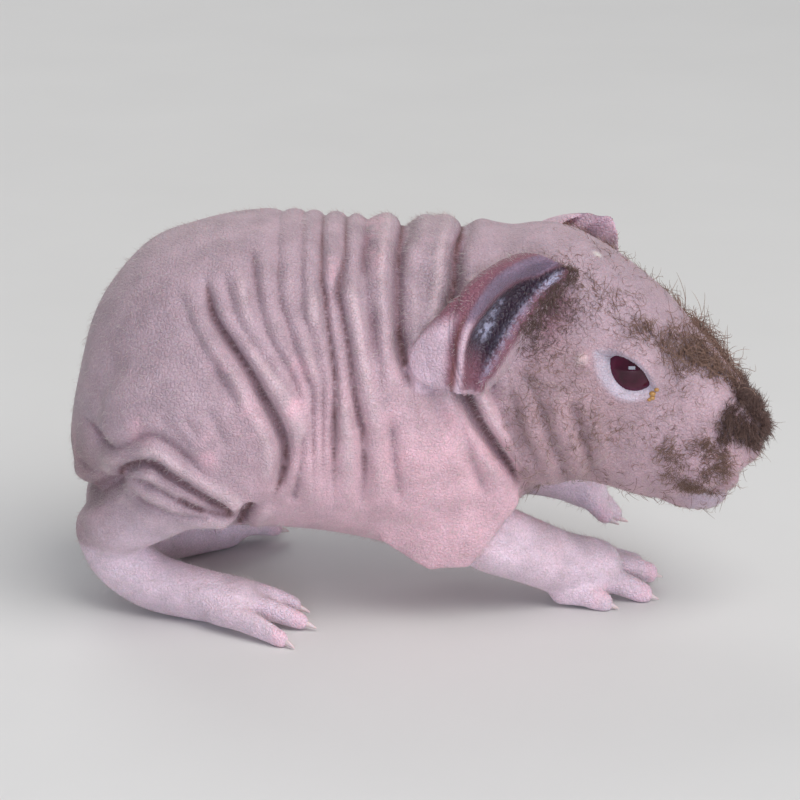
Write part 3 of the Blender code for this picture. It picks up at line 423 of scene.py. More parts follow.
class PupClawSettings(PropertyGroup):
    """The claws."""

    length: FloatProperty(
        name="Length", description="Length of a claw beyond the toe",
        default=0.0022, unit="LENGTH", min=0.001, max=0.004,
    )
    horn: colour("Horn", "Pale pink horn", 0.72, 0.58, 0.58)


class PupHairSettings(PropertyGroup):
    """The sparse hair."""

    seed: IntProperty(name="Seed", description="Draw of the hairs' places", default=7, min=0)
    fullness: FloatProperty(name="Fullness", description="Share of the tufts that grow",
                            default=1.0, min=0.05, max=1.2)
    dark: colour("Muzzle hair", "Dark brown hair of the muzzle", 0.120, 0.071, 0.060)
    gold: colour("Curls", "Golden brown curls of the face", 0.38, 0.225, 0.165)
    down: colour("Down", "Pale down of the body", 0.78, 0.68, 0.66)


class PupStageSettings(PropertyGroup):
    """The floor and the light."""

    floor: colour("Floor", "Plain pale floor", 0.72, 0.71, 0.70)
    key: FloatProperty(name="Key light", description="Power of the light overhead",
                       default=9.5, unit="POWER", min=0)


def ease(value, low, high):
    """Zero below low, one above high, and a smooth step between."""
    t = np.clip((value - low) / (high - low), 0, 1)
    return t * t * (3 - 2 * t)


def hump(value, at, width):
    """One at the place and fading on both sides."""
    return np.exp(-(((value - at) / width) ** 2))


def lengths(rows):
    return np.linalg.norm(rows, axis=1)


def unit(rows, least=0.0):
    return rows / np.maximum(lengths(rows), least)[:, None]


def largest(*values):
    return np.maximum.reduce(values)


def circle(count):
    turn = np.linspace(0, 2 * np.pi, count, endpoint=False)
    return np.cos(turn), np.sin(turn)


def spline(rows, steps=6):
    """The rows with a smooth curve through them."""
    rows = np.array(rows, float)
    pad = np.concatenate([[2 * rows[0] - rows[1]], rows, [2 * rows[-1] - rows[-2]]])
    out = []
    for i in range(1, len(pad) - 2):
        a, b, c, d = pad[i - 1 : i + 3]
        for t in np.arange(steps) / steps:
            bend = (2 * a - 5 * b + 4 * c - d) * t * t + (3 * b - a - 3 * c + d) * t**3
            out.append(0.5 * (2 * b + (c - a) * t + bend))
    out.append(rows[-1])
    return np.array(out)


def bridge(bm, loops):
    """Joins each loop of vertices to the next."""
    for low, high in zip(loops, loops[1:]):
        for i in range(len(low)):
            j = (i + 1) % len(low)
            bm.faces.new((low[i], low[j], high[j], high[i]))


def loft(bm, rings, place=Matrix.Identity(4)):
    """Bridges the rings and closes both ends."""
    loops = [[bm.verts.new(place @ Vector(p) * MM) for p in ring] for ring in rings]
    bridge(bm, loops)
    for ring, last in ((loops[0], False), (loops[-1], True)):
        pole = bm.verts.new(sum((v.co for v in ring), Vector()) / len(ring))
        for i in range(len(ring)):
            j = (i + 1) % len(ring)
            bm.faces.new((pole, ring[i], ring[j]) if last else (pole, ring[j], ring[i]))


def egg_body(bm, stations, place=Matrix.Identity(4)):
    """A body of egg-shaped sections, each a little squarer than an ellipse."""
    across, rise = (np.sign(c) * np.abs(c) ** (2 / SQUARENESS) for c in circle(48))
    rings = []
    for x, top, bottom, half, wide in spline(stations):
        z = np.where(rise > 0, wide + (top - wide) * rise, wide + (wide - bottom) * rise)
        rings.append(np.stack([np.full(len(z), x), half * across, z], 1))
    loft(bm, rings, place)


def limb(bm, stations, place=Matrix.Identity(4), count=20):
    """A tube with round ends through rows of x, y, z, half width and half thickness."""
    rows = spline(stations, 5)
    centre = rows[:, :3]
    way = unit(np.gradient(centre, axis=0))
    cos, sin = circle(count)

    def ring(at, along, half, thick):
        side = np.cross((0, 0, 1.0), along)
        size = np.linalg.norm(side)
        side = side / size if size > 0.2 else np.array([0, 1.0, 0])
        return at + np.outer(cos * half, side) + np.outer(sin * thick, np.cross(along, side))

    def cap(end, outward, share):
        beyond = outward * min(rows[end, 3:5]) * math.sqrt(1 - share * share)
        return ring(centre[end] + way[end] * beyond, way[end], *(rows[end, 3:5] * share))

    rings = [cap(0, -1, share) for share in CAP_SHARES]
    rings += [ring(at, along, *size) for at, along, size in zip(centre, way, rows[:, 3:5])]
    rings += [cap(-1, 1, share) for share in reversed(CAP_SHARES)]
    loft(bm, rings, place)


def ball(bm, centre, radii, place=Matrix.Identity(4), turn=(0, 0, 0)):
    spin = Euler([math.radians(a) for a in turn]).to_matrix().to_4x4()
    placed = Matrix.Scale(MM, 4) @ place @ Matrix.Translation(centre) @ spin
    placed = placed @ Matrix.Diagonal((*radii, 1))
    bmesh.ops.create_uvsphere(bm, u_segments=32, v_segments=16, radius=1, matrix=placed)


def to_head(points):
    """Points of the drawing frame in the head's own frame."""
    return (points - HEAD_ROWS[:3, 3]) @ HEAD_ROWS[:3, :3]


def from_head(points):
    return points @ HEAD_ROWS[:3, :3].T + HEAD_ROWS[:3, 3]


def sided(points, side):
    return [(p[0], p[1] * side, *p[2:]) for p in points]


def eye_centre(side):
    return np.array(sided([EYE], side)[0])


def toe_rows(root, tip, thick, thin):
    middle = [(a + b) / 2 for a, b in zip(root, tip)]
    middle[2] += 0.35
    half = (thick + thin) / 2
    return [(*root, thick, thick), (*middle, half + 0.1, half), (*tip, thin, thin)]


def hind_foot_frame(side):
    turn, across = HIND_FOOT_TURNS[side]
    heel = Matrix.Translation((HEEL, across * side, 0))
    return heel @ Matrix.Rotation(math.radians(turn), 4, "Z")


def all_toes():
    """Root and tip of every toe in the drawing."""
    for side in SIDES:
        place = hind_foot_frame(side)
        hind = [[place @ Vector(p) for p in sided(toe, side)] for toe in HIND_TOES]
        yield from (*FORE_TOES[side], *hind)


def hind_leg(bm, side):
    (x, y, z), radii = HAUNCH
    ball(bm, (x, y * side, z), radii, turn=HAUNCH_TURN)
    limb(bm, sided(HIND_SHANK, side))
    place = hind_foot_frame(side)
    limb(bm, sided(HIND_FOOT, side), place)
    for root, tip in HIND_TOES:
        limb(bm, sided(toe_rows(root, tip, 1.9, 1.2), side), place, count=12)


def fore_limb(bm, side):
    limb(bm, FORE_LIMBS[side])
    for root, tip in FORE_TOES[side]:
        limb(bm, toe_rows(root, tip, 1.9, 1.4), count=12)


def body_masses(bm):
    """Trunk, head, haunches and hind feet, before they are blended."""
    egg_body(bm, TRUNK)
    egg_body(bm, SKULL, HEAD)
    ball(bm, *CHIN, HEAD)
    for side in SIDES:
        for (x, y, z), radii in (JOWL, MUZZLE):
            ball(bm, (x, y * side, z), radii, HEAD)
        made = [bm.verts.new(Vector(p) * MM) for p in sided(APRON, side)]
        bmesh.ops.convex_hull(bm, input=made)
        hind_leg(bm, side)


def link(name, data):
    obj = bpy.data.objects.new(name, data)
    bpy.context.scene.collection.objects.link(obj)
    return obj


def new_piece(name, bm):
    mesh = bpy.data.meshes.new(name)
    bm.to_mesh(mesh)
    bm.free()
    if not mesh.polygons:
        raise RuntimeError(name + " came out empty")
    return link(name, mesh)


def build(name, fill, *args):
    """A new piece from what the function puts into an empty mesh."""
    bm = bmesh.new()
    fill(bm, *args)
    return new_piece(name, bm)


def discard(obj):
    mesh = obj.data
    bpy.data.objects.remove(obj)
    bpy.data.meshes.remove(mesh)


def modify(obj, **kinds):
    """Replaces the object's mesh with what the modifiers make of it."""
    for kind, settings in kinds.items():
        modifier = obj.modifiers.new(kind, kind)
        for key, value in settings.items():
            setattr(modifier, key, value)
    graph = bpy.context.evaluated_depsgraph_get()
    made = bpy.data.meshes.new_from_object(obj.evaluated_get(graph), depsgraph=graph)
    if not made.polygons:
        raise RuntimeError(obj.name + " came out empty")
    old = obj.data
    obj.modifiers.clear()
    obj.data = made
    bpy.data.meshes.remove(old)
    made.name = obj.name


def remesh(obj, voxel):
    modify(obj, REMESH={"mode": "VOXEL", "voxel_size": voxel * MM})


def smooth(obj, times, weight=None):
    """Smooths the object, by as much at each vertex as the weight says."""
    settings = {"factor": 0.5, "iterations": times}
    if weight is not None:
        group = obj.vertex_groups.new(name="Soft")
        for level in range(1, 11):
            chosen = np.nonzero(np.round(weight * 10) == level)[0]
            if len(chosen):
                group.add(chosen.tolist(), level / 10, "REPLACE")
        settings["vertex_group"] = group.name
    modify(obj, SMOOTH=settings)
    obj.vertex_groups.clear()


def read(items, name, width=0, kind=float):
    """One property of all the items, in rows of the width where one is given."""
    flat = np.empty(len(items) * max(width, 1), kind)
    items.foreach_get(name, flat)
    return flat.reshape(-1, width) if width else flat


def coordinates(obj):
    return read(obj.data.vertices, "co", 3) / MM


def normals(obj):
    return read(obj.data.vertices, "normal", 3)


def move_to(obj, points):
    obj.data.vertices.foreach_set("co", (points * MM).astype(np.float32).ravel())
    obj.data.update()


def along_line(flat, line, reach=4.0):
    """How far each point of the side view is from the line, and how far along it the nearest is."""
    path = spline(line, 5)
    nearest = np.full(len(flat), 1e3)
    place = np.zeros(len(flat))
    inside = (flat > path.min(0) - reach) & (flat < path.max(0) + reach)
    near = np.nonzero(inside.all(1))[0]
    here = flat[near]
    gaps = nearest[near]
    places = place[near]
    count = len(path) - 1
    for i in range(count):
        way = path[i + 1] - path[i]
        t = np.clip((here - path[i]) @ way / (way @ way), 0, 1)
        gap = lengths(here - path[i] - np.outer(t, way))
        closer = gap < gaps
        gaps[closer] = gap[closer]
        places[closer] = (i + t[closer]) / count
    nearest[near] = gaps
    place[near] = places
    return nearest, place


def crease(flat, line, depth, width, rise=0.3, fading=0.22):
    """How far each point of the side view sinks into a fold along the line, or rises beside it."""
    nearest, place = along_line(flat, line)
    fade = ease(place, 0, fading) * ease(1 - place, 0, fading)
    sink = -depth * np.exp(-nearest / width)
    return fade * (sink + rise * depth * hump(nearest, 2.1, 1.3))


def side_view(points):
    """The points seen from the side, those of the far flank a little off."""
    flat = points[:, (0, 2)].copy()
    flat[:, 0] += 0.8 * np.sin(points[:, 2] / 5) * ease(points[:, 1], 0, 14)
    return flat


def fold_reach(points, facing):
    """Where the skin faces outward above the floor, so that its folds show."""
    rear = 0.8 * np.maximum(-facing[:, 0], 0)
    outward = ease(np.abs(facing[:, 1]) + np.maximum(facing[:, 2], 0) + rear, 0.1, 0.6)
    return outward * ease(points[:, 2], 9, 15)


def fold_depths(points, facing):
    """How far the folds move each point along its normal."""
    flat = side_view(points)
    shift = np.zeros(len(points))
    for depth, width, line in FOLDS + CREASES + DENTS:
        shift += crease(flat, line, 1.25 * depth, width)
    return shift * fold_reach(points, facing)


def fold_cuts(points, facing, width):
    """How deep the narrow valley of each fold is at each point."""
    flat = side_view(points)
    cut = np.zeros(len(points))
    for depth, _, line in FOLDS + CREASES:
        cut -= crease(flat, line, depth, width, 0, 0.12)
    return cut * fold_reach(points, facing)


def face_depths(inner):
    """The line of the mouth and the groove of the upper lip, in the head's frame."""
    ahead, aside, above = inner[:, 0], np.abs(inner[:, 1]), inner[:, 2]
    front = ease(ahead, -11, -7) * ease(ahead - above, 0, 3)
    shift = crease(inner[:, (0, 2)], MOUTH, 0.9, 0.5) * front
    lip = ease(ahead, -4, -2) * ease(above, -6.5, -5) * ease(-above, 0.5, 2)
    shift -= 0.5 * np.exp(-aside / 0.45) * lip
    shift -= 0.8 * hump(lengths(np.stack([ahead, aside, above], 1) - NOSTRIL), 0, 0.9)
    return shift + 0.45 * hump(lengths(inner - WART), 0, 0.8)


def lid_spheres(inner):
    """Swells the skin over each eyeball."""
    for side in SIDES:
        eye = eye_centre(side)
        away = inner - eye
        reach = lengths(away)
        soft = LID_SOFTNESS * np.log1p(np.exp((reach - EYE_RADIUS - LID) / LID_SOFTNESS))
        near = (reach < EYE_RADIUS + 5) & (away[:, 1] * side > -1.5)
        grown = (EYE_RADIUS + LID + soft) / reach
        inner[near] = eye + away[near] * grown[near][:, None]
    return inner


def lid_line(grow=0.0):
    """The edge of the eye's opening in x and z, from the back corner along the upper lid."""
    path = spline(LID_LINE, 4)
    away = path - LID_MIDDLE
    return path + away * (grow / lengths(away))[:, None]


def inside_opening(flat):
    """How far inside the edge of the opening each point of the head's side view is."""
    inside = np.full(len(flat), -9.0)
    near = np.nonzero(lengths(flat - LID_MIDDLE) < 9)[0]
    path = lid_line()
    gap, _ = along_line(flat[near], LID_LINE, 9.0)
    crossings = np.zeros(len(near), int)
    x, z = flat[near].T
    for (ax, az), (bx, bz) in zip(path, path[1:]):
        if az != bz:
            at = ax + (z - az) / (bz - az) * (bx - ax)
            crossings += ((az > z) != (bz > z)) & (x < at)
    inside[near] = np.where(crossings % 2 == 1, gap, -gap)
    return inside


def open_lids(inner):
    """Sinks the skin behind the eyeball inside each lid opening."""
    for side in SIDES:
        eye = eye_centre(side)
        away = inner - eye
        reach = lengths(away)
        near = (away[:, 1] * side > 0) & (reach < EYE_RADIUS + 4)
        depth = ease(inside_opening(inner[:, (0, 2)]), -0.3, 0.1) * near
        sunk = (EYE_RADIUS - 0.7) / np.maximum(reach, 0.1)
        inner = eye + away * np.where(near, 1 + (sunk - 1) * depth, 1.0)[:, None]
    return inner


def pale_ring(inner):
    """The whitish lid round each opening, wide behind and below it."""
    flat = inner[:, (0, 2)]
    away = flat - LID_MIDDLE
    droop = away @ np.array(LID_DROOP) / np.maximum(lengths(away), 0.1)
    wide = 0.25 + 0.55 * ease(droop, -0.2, 0.8)
    return 0.85 * ease(wide + inside_opening(flat), -0.45, 0.45) * ease(np.abs(inner[:, 1]), 6, 8)


def ear_sheet(side, **first):
    """One ear's surface after the named modifiers and a softening one.

    Its points know how far across and down the rows they are.
    """
    place = HEAD @ Matrix.Diagonal((1, side, 1, 1))
    if side > 0:
        place = place @ Matrix.Translation(EAR_SLIP)
    bm = bmesh.new()
    across, down = (bm.verts.layers.float.new(name) for name in EAR_LAYERS)
    grid = []
    for j, row in enumerate(EAR):
        grid.append([])
        for i, (p, move) in enumerate(zip(row, EAR_LEAN)):
            vert = bm.verts.new(place @ (Vector(p) + Vector(move) * (side > 0)) * MM)
            vert[across], vert[down] = i, j
            grid[j].append(vert)
    for low, high in zip(grid, grid[1:]):
        for i in range(len(low) - 1):
            bm.faces.new((low[i], low[i + 1], high[i + 1], high[i]))
    bmesh.ops.recalc_face_normals(bm, faces=bm.faces)
    ear = new_piece("ear", bm)
    modify(ear, **first, SUBSURF={"levels": 3, "render_levels": 3})
    return ear


def joined(name, objects):
    bm = bmesh.new()
    for obj in objects:
        bm.from_mesh(obj.data)
        discard(obj)
    return new_piece(name, bm)


def blended_body(voxel):
    """Trunk, head and hind legs as one soft form, with their folds."""
    body = build("body", body_masses)
    remesh(body, BLEND_VOXEL)
    points = coordinates(body)
    back = -to_head(points)[:, 0]
    behind = ease(back, 20, 34)
    head_weight = 0.4 + 0.2 * ease(back, 3, 14)
    apron = ease(points[:, 0], 2, 8) * ease(26 - points[:, 2], 0, 8)
    weight = ease(points[:, 2], 9, 18) * (behind + (1 - behind) * head_weight)
    smooth(body, 40, np.clip(weight * (1 - 0.7 * apron) + 0.08, 0, 1))
    smooth(body, 3)
    remesh(body, voxel)
    smooth(body, 3)
    points = coordinates(body)
    facing = normals(body)
    points += facing * fold_depths(points, facing)[:, None]
    inner = to_head(points)
    turned = facing @ HEAD_ROWS[:3, :3]
    inner += turned * (face_depths(inner) - coat_depth(inner))[:, None]
    move_to(body, from_head(lid_spheres(inner)))
    return body


def coat_depth(inner):
    """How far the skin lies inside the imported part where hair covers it, in the head's frame."""
    cap = ease(inner[:, 0], -8, -4) * ease(inner[:, 2], -3, 0)
    bridge_hair = ease(inner[:, 0], -22, -15) * ease(inner[:, 2], 4, 7)
    return 0.9 * cap + 0.5 * bridge_hair * (1 - cap)


def coat_lie(points):
    """Which way the hair lies: back and down along the body, and away from the nose's middle."""
    inner = to_head(points)
    swept = unit(inner - (-3.5, 0, 0.5), 0.1) + (-0.35, 0, -0.2)
    pad = unit((inner - (-7.5, 0, -5.5)) * (1, 0, 1), 0.1)
    on_pad = ease(inner[:, 0], -14, -11) * ease(-inner[:, 2], 2.2, 3.2)
    head = swept + (pad + (0.2, 0, -0.5) - swept) * on_pad[:, None]
    share = ease(inner[:, 0], -40, -30)[:, None]
    return head @ HEAD_ROWS[:3, :3].T * share + np.array((-1.0, 0, -0.35)) * (1 - share)


def tree_of(points):
    tree = kdtree.KDTree(len(points))
    for i, p in enumerate(points):
        tree.insert(p, i)
    tree.balance()
    return tree


def spread(values, edges, times):
    """Averages each point's value with its neighbours' so many times."""
    count = len(values)
    degree = np.bincount(edges.ravel(), minlength=count)
    for _ in range(times):
        total = np.bincount(edges[:, 0], values[edges[:, 1]], count)
        total += np.bincount(edges[:, 1], values[edges[:, 0]], count)
        values = 0.5 * values + 0.5 * total / np.maximum(degree, 1)
    return values


def node_shares(points, edges):
    """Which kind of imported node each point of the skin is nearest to, as soft shares to 1."""
    places = [read(frame["nodes"][name].data.vertices, "co", 3)[::3] for name in FLESH_NODES]
    owners = np.repeat(np.arange(len(places)), [len(here) for here in places])
    tree = tree_of(np.concatenate(places))
    nearest = owners[[tree.find(p)[1] for p in points * MM]]
    shares = {}
    for index, name in enumerate(FLESH_NODES):
        part = name.split("_")[0]
        shares[part] = shares.get(part, 0) + (nearest == index)
    return {part: spread(share.astype(float), edges, 12) for part, share in shares.items()}


def ear_places(points, share):
    """How far across and down the ear's rows each point near it is, and how far outside it."""
    places = np.full((len(points), 3), -1.0)
    across = to_head(points)[:, 1]
    for side in SIDES:
        ear = ear_sheet(side)
        sheet = coordinates(ear)
        facing = normals(ear)
        grid = np.array([read(ear.data.attributes[name].data, "value") for name in EAR_LAYERS])
        tree = tree_of(sheet)
        for i in np.nonzero((share > 0.02) & (across * side > 0))[0]:
            _, j, gap = tree.find(points[i])
            if gap < EAR_REACH:
                outward = facing[j] if facing[j][1] * side > 0 else -facing[j]
                places[i] = (*grid[:, j], np.dot(points[i] - sheet[j], outward))
        discard(ear)
    return places.T


class Wiring:
    """Adds nodes to a tree and links them in one call each."""

    def __init__(self, tree):
        self.tree = tree

    def join(self, socket, value):
        """Links another node's output to the socket, or sets a plain value on it."""
        if isinstance(value, bpy.types.NodeSocket):
            self.tree.links.new(value, socket)
        else:
            socket.default_value = value

    def node(self, kind, settings, *values, **named):
        made = self.tree.nodes.new("ShaderNode" + kind)
        for key, value in settings.items():
            setattr(made, key, value)
        for socket, value in zip(made.inputs, values):
            self.join(socket, value)
        for name, value in named.items():
            self.join(made.inputs[name], value)
        return made

    def mask(self, name):
        return self.node("Attribute", {"attribute_name": name}).outputs["Fac"]

    def times(self, a, b):
        return self.node("Math", {"operation": "MULTIPLY"}, a, b).outputs[0]

    def ramp(self, value, low, high, first, last):
        """The value's place from low to high, on a scale from first to last."""
        return self.node("MapRange", {}, value, low, high, first, last).outputs[0]

    def blend(self, share, a, b, way="MIX"):
        made = self.node("Mix", {"data_type": "RGBA", "blend_type": way}, share)
        for socket, value in ((made.inputs[6], a), (made.inputs[7], b)):
            plain = not isinstance(value, bpy.types.NodeSocket)
            self.join(socket, (*value[:3], 1) if plain else value)
        return made.outputs[2]

    def shaded(self, tone, light):
        """The colour made lighter or darker by a value."""
        grey = self.node("CombineColor", {}, light, light, light).outputs[0]
        return self.blend(1.0, tone, grey, "MULTIPLY")

    def noise(self, place, scale, detail, rough=0.5):
        sockets = {"Vector": place, "Scale": scale, "Detail": detail, "Roughness": rough}
        return self.node("TexNoise", {}, **sockets).outputs["Fac"]

    def bump(self, strength, distance, height):
        sockets = {"Strength": strength, "Distance": distance, "Height": height}
        return self.node("Bump", {}, **sockets).outputs[0]


def grain_group():
    """Fine pebbled grain: a speckle mask, soft mottling and a height, from object coordinates."""
    if "Pup Grain" in bpy.data.node_groups:
        return bpy.data.node_groups["Pup Grain"]
    group = bpy.data.node_groups.new("Pup Grain", "ShaderNodeTree")
    fine = group.interface.new_socket("Fineness", in_out="INPUT", socket_type="NodeSocketFloat")
    fine.default_value = 1.0
    wiring = Wiring(group)
    inlet = group.nodes.new("NodeGroupInput")
    outlet = group.nodes.new("NodeGroupOutput")
    place = wiring.node("TexCoord", {}).outputs["Object"]
    size = wiring.times(inlet.outputs["Fineness"], 1000.0)
    speckle = wiring.noise(place, wiring.times(size, 3.8), 3.0, 0.65)
    cells = wiring.node("TexVoronoi", {"feature": "DISTANCE_TO_EDGE"}, Vector=place,
                        Scale=wiring.times(size, 1.7)).outputs["Distance"]
    mottle = wiring.noise(place, wiring.times(size, 0.24), 4.0, 0.55)
    height = wiring.node("Math", {"operation": "ADD"}, wiring.ramp(cells, 0.0, 0.22, 0.0, 0.7),
                         wiring.times(speckle, 0.9)).outputs[0]
    for name, value in (("Speckle", speckle), ("Mottle", mottle), ("Height", height)):
        group.interface.new_socket(name, in_out="OUTPUT", socket_type="NodeSocketFloat")
        wiring.join(outlet.inputs[name], value)
    return group


def add_grain(wiring, fineness=1.0):
    return wiring.node("Group", {"node_tree": grain_group()}, fineness).outputs


def material(name, rough, **sockets):
    """A new material, its wiring, and its shader's sockets with the constant ones set."""
    made = bpy.data.materials.new(name)
    made.use_nodes = True
    inputs = made.node_tree.nodes["Principled BSDF"].inputs
    inputs["Roughness"].default_value = rough
    for socket, value in sockets.items():
        inputs[socket.replace("_", " ")].default_value = value
    return made, Wiring(made.node_tree), inputs


def scaled(tone, share):
    return [share * c for c in tone]


def grained(name, rough, tone, darker, mask, fineness, height=None, **sockets):
    """A material that its grain darkens in places, with a bump where its height is given."""
    made, wiring, inputs = material(name, rough, **sockets)
    grain = add_grain(wiring, fineness)
    wiring.join(inputs["Base Color"], wiring.blend(grain[mask], tone, scaled(tone, darker)))
    if height:
        wiring.join(inputs["Normal"], wiring.bump(*height, grain["Height"]))
    return made


def skin_material(settings):
    made, wiring, inputs = material(
        "pup_skin", 0.5, Subsurface_Weight=0.22, Subsurface_Scale=0.0016, Sheen_Weight=0.12,
        Sheen_Roughness=0.45, Specular_IOR_Level=0.42, Subsurface_Radius=(1.0, 0.36, 0.26),
    )
    grain = add_grain(wiring)
    tone = wiring.blend(wiring.mask("blush"), settings.mauve, settings.blush)
    tone = wiring.blend(wiring.mask("paw"), tone, settings.lilac)
    # Among these layers the folds' sides carry painted shade and their crests painted light.
    for name in ("dusk", "shade", "crest_light", "ear", "flap_and_lit_ear", "rim", "cup", "pale"):
        tone = wiring.blend(wiring.mask(name), tone, getattr(settings, name))
    patchy = wiring.ramp(grain["Mottle"], 0.42, 0.58, 0.0, 0.5)
    tone = wiring.blend(wiring.times(wiring.mask("flush"), patchy), tone, settings.flush)
    for value, low, high in ((grain["Mottle"], 0.88, 1.1), (grain["Speckle"], 0.87, 1.11)):
        tone = wiring.shaded(tone, wiring.ramp(value, 0.36, 0.64, low, high))
    # A speckle that breaks up the painted highlight of the ear.
    wet = wiring.ramp(add_grain(wiring, 0.35)["Speckle"], 0.42, 0.56, 0.15, 1.0)
    tone = wiring.blend(wiring.times(wiring.mask("ridge_highlight"), wet), tone, settings.ridge_highlight)
    # The valley and speck layers also lay painted shade in the folds.
    for name in ("valley_tone_and_shade", "mark", "fleck"):
        tone = wiring.blend(wiring.mask(name), tone, getattr(settings, name))
    wiring.join(inputs["Base Color"], tone)
    wiring.join(inputs["Roughness"], wiring.ramp(wiring.mask("gloss"), 0.0, 1.0, 0.52, 0.2))
    wiring.join(inputs["Normal"], wiring.bump(0.85, 0.00015, grain["Height"]))
    return made


def put_on(obj, made):
    obj.data.materials.clear()
    obj.data.materials.append(made)
    obj.data.polygons.foreach_set("use_smooth", np.ones(len(obj.data.polygons), bool))
    obj.data.update()


def seat(obj, made, slot, *nodes):
    """Gives the piece its material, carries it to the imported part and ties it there."""
    put_on(obj, made)
    obj.data.transform(Matrix.Translation(PLACE * MM))
    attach(obj, "root")
    if nodes:
        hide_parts(*nodes)


def set_mask(obj, name, values):
    attribute = obj.data.attributes.new(name, "FLOAT", "POINT")
    attribute.data.foreach_set("value", np.clip(values, 0, 1).astype(np.float32))


def near_to(points, at, radius, weights=(1, 1, 1)):
    """One at the place and fading round it."""
    return np.exp(-((lengths((points - at) * weights) / radius) ** 4))


def blob(flat, at, sizes):
    return hump(lengths((flat - at) / sizes), 0, 1)


def ear_masks(across, down, outside):
    """The ear's colours: its back, dark cup with painted shade, rolled rim, moist front ridge with
    painted highlights, crease with painted shade, and flap.
    """
    face = ease(outside, -0.25, 0.1)
    far = np.interp(down, (0, 0.4, 0.8, 1.2, 2, 3, 4, 5), (1.5, 1.8, 2.3, 2.6, 2.85, 3.1, 3.2, 3))
    # Painted shade in the ear's hollow, lighter toward the tip where it opens.
    cup = ease(across, 1, 1.25) * ease(far - across, -0.1, 0.25)
    # Painted highlights: the sky's reflection along the front ridge, as a patch and as a thin line
    # in the cup.
    ridge_highlight = hump(across, 1.12, 0.2) * ease(down, 0.1, 0.4) * ease(4.8 - down, 0, 0.8)
    ridge_highlight *= 0.5 + 0.5 * ease(1.2 - down, 0, 0.7)
    glint_streak = hump(across, 2.35, 0.35) * hump(down, 3.05, 0.45)
    thin = 0.7 * hump(across, 2.45, 0.16) * ease(down, 1.7, 2.1) * ease(3 - down, 0, 0.3)
    rim = ease(across - far, -0.1, 0.25) * ease(3.9 - across, -0.15, 0.3)
    edge = largest(ease(across, 5.7, 5.95), ease(down, 4.7, 4.95))
    flap_and_lit_ear = ease(across, 4.1, 4.7) * ease(down, 2.7, 3.7)
    return {
        "cup": cup * (1 - 0.8 * ease(down, 3.4, 4.6)) * face,
        "ridge_highlight": largest(ridge_highlight, glint_streak, thin) * face,
        "rim": rim * ease(3.6 - down, 0, 1) * face,
        "crease": hump(across, 3.95, 0.13) * ease(down, 2.4, 3.2) * face,
        "flap_and_lit_ear": largest(flap_and_lit_ear, hump(across, 3.4, 0.25) * ease(down, 2.6, 3.3), 0.8 * edge),
        "back": np.ones(len(across)),
    }


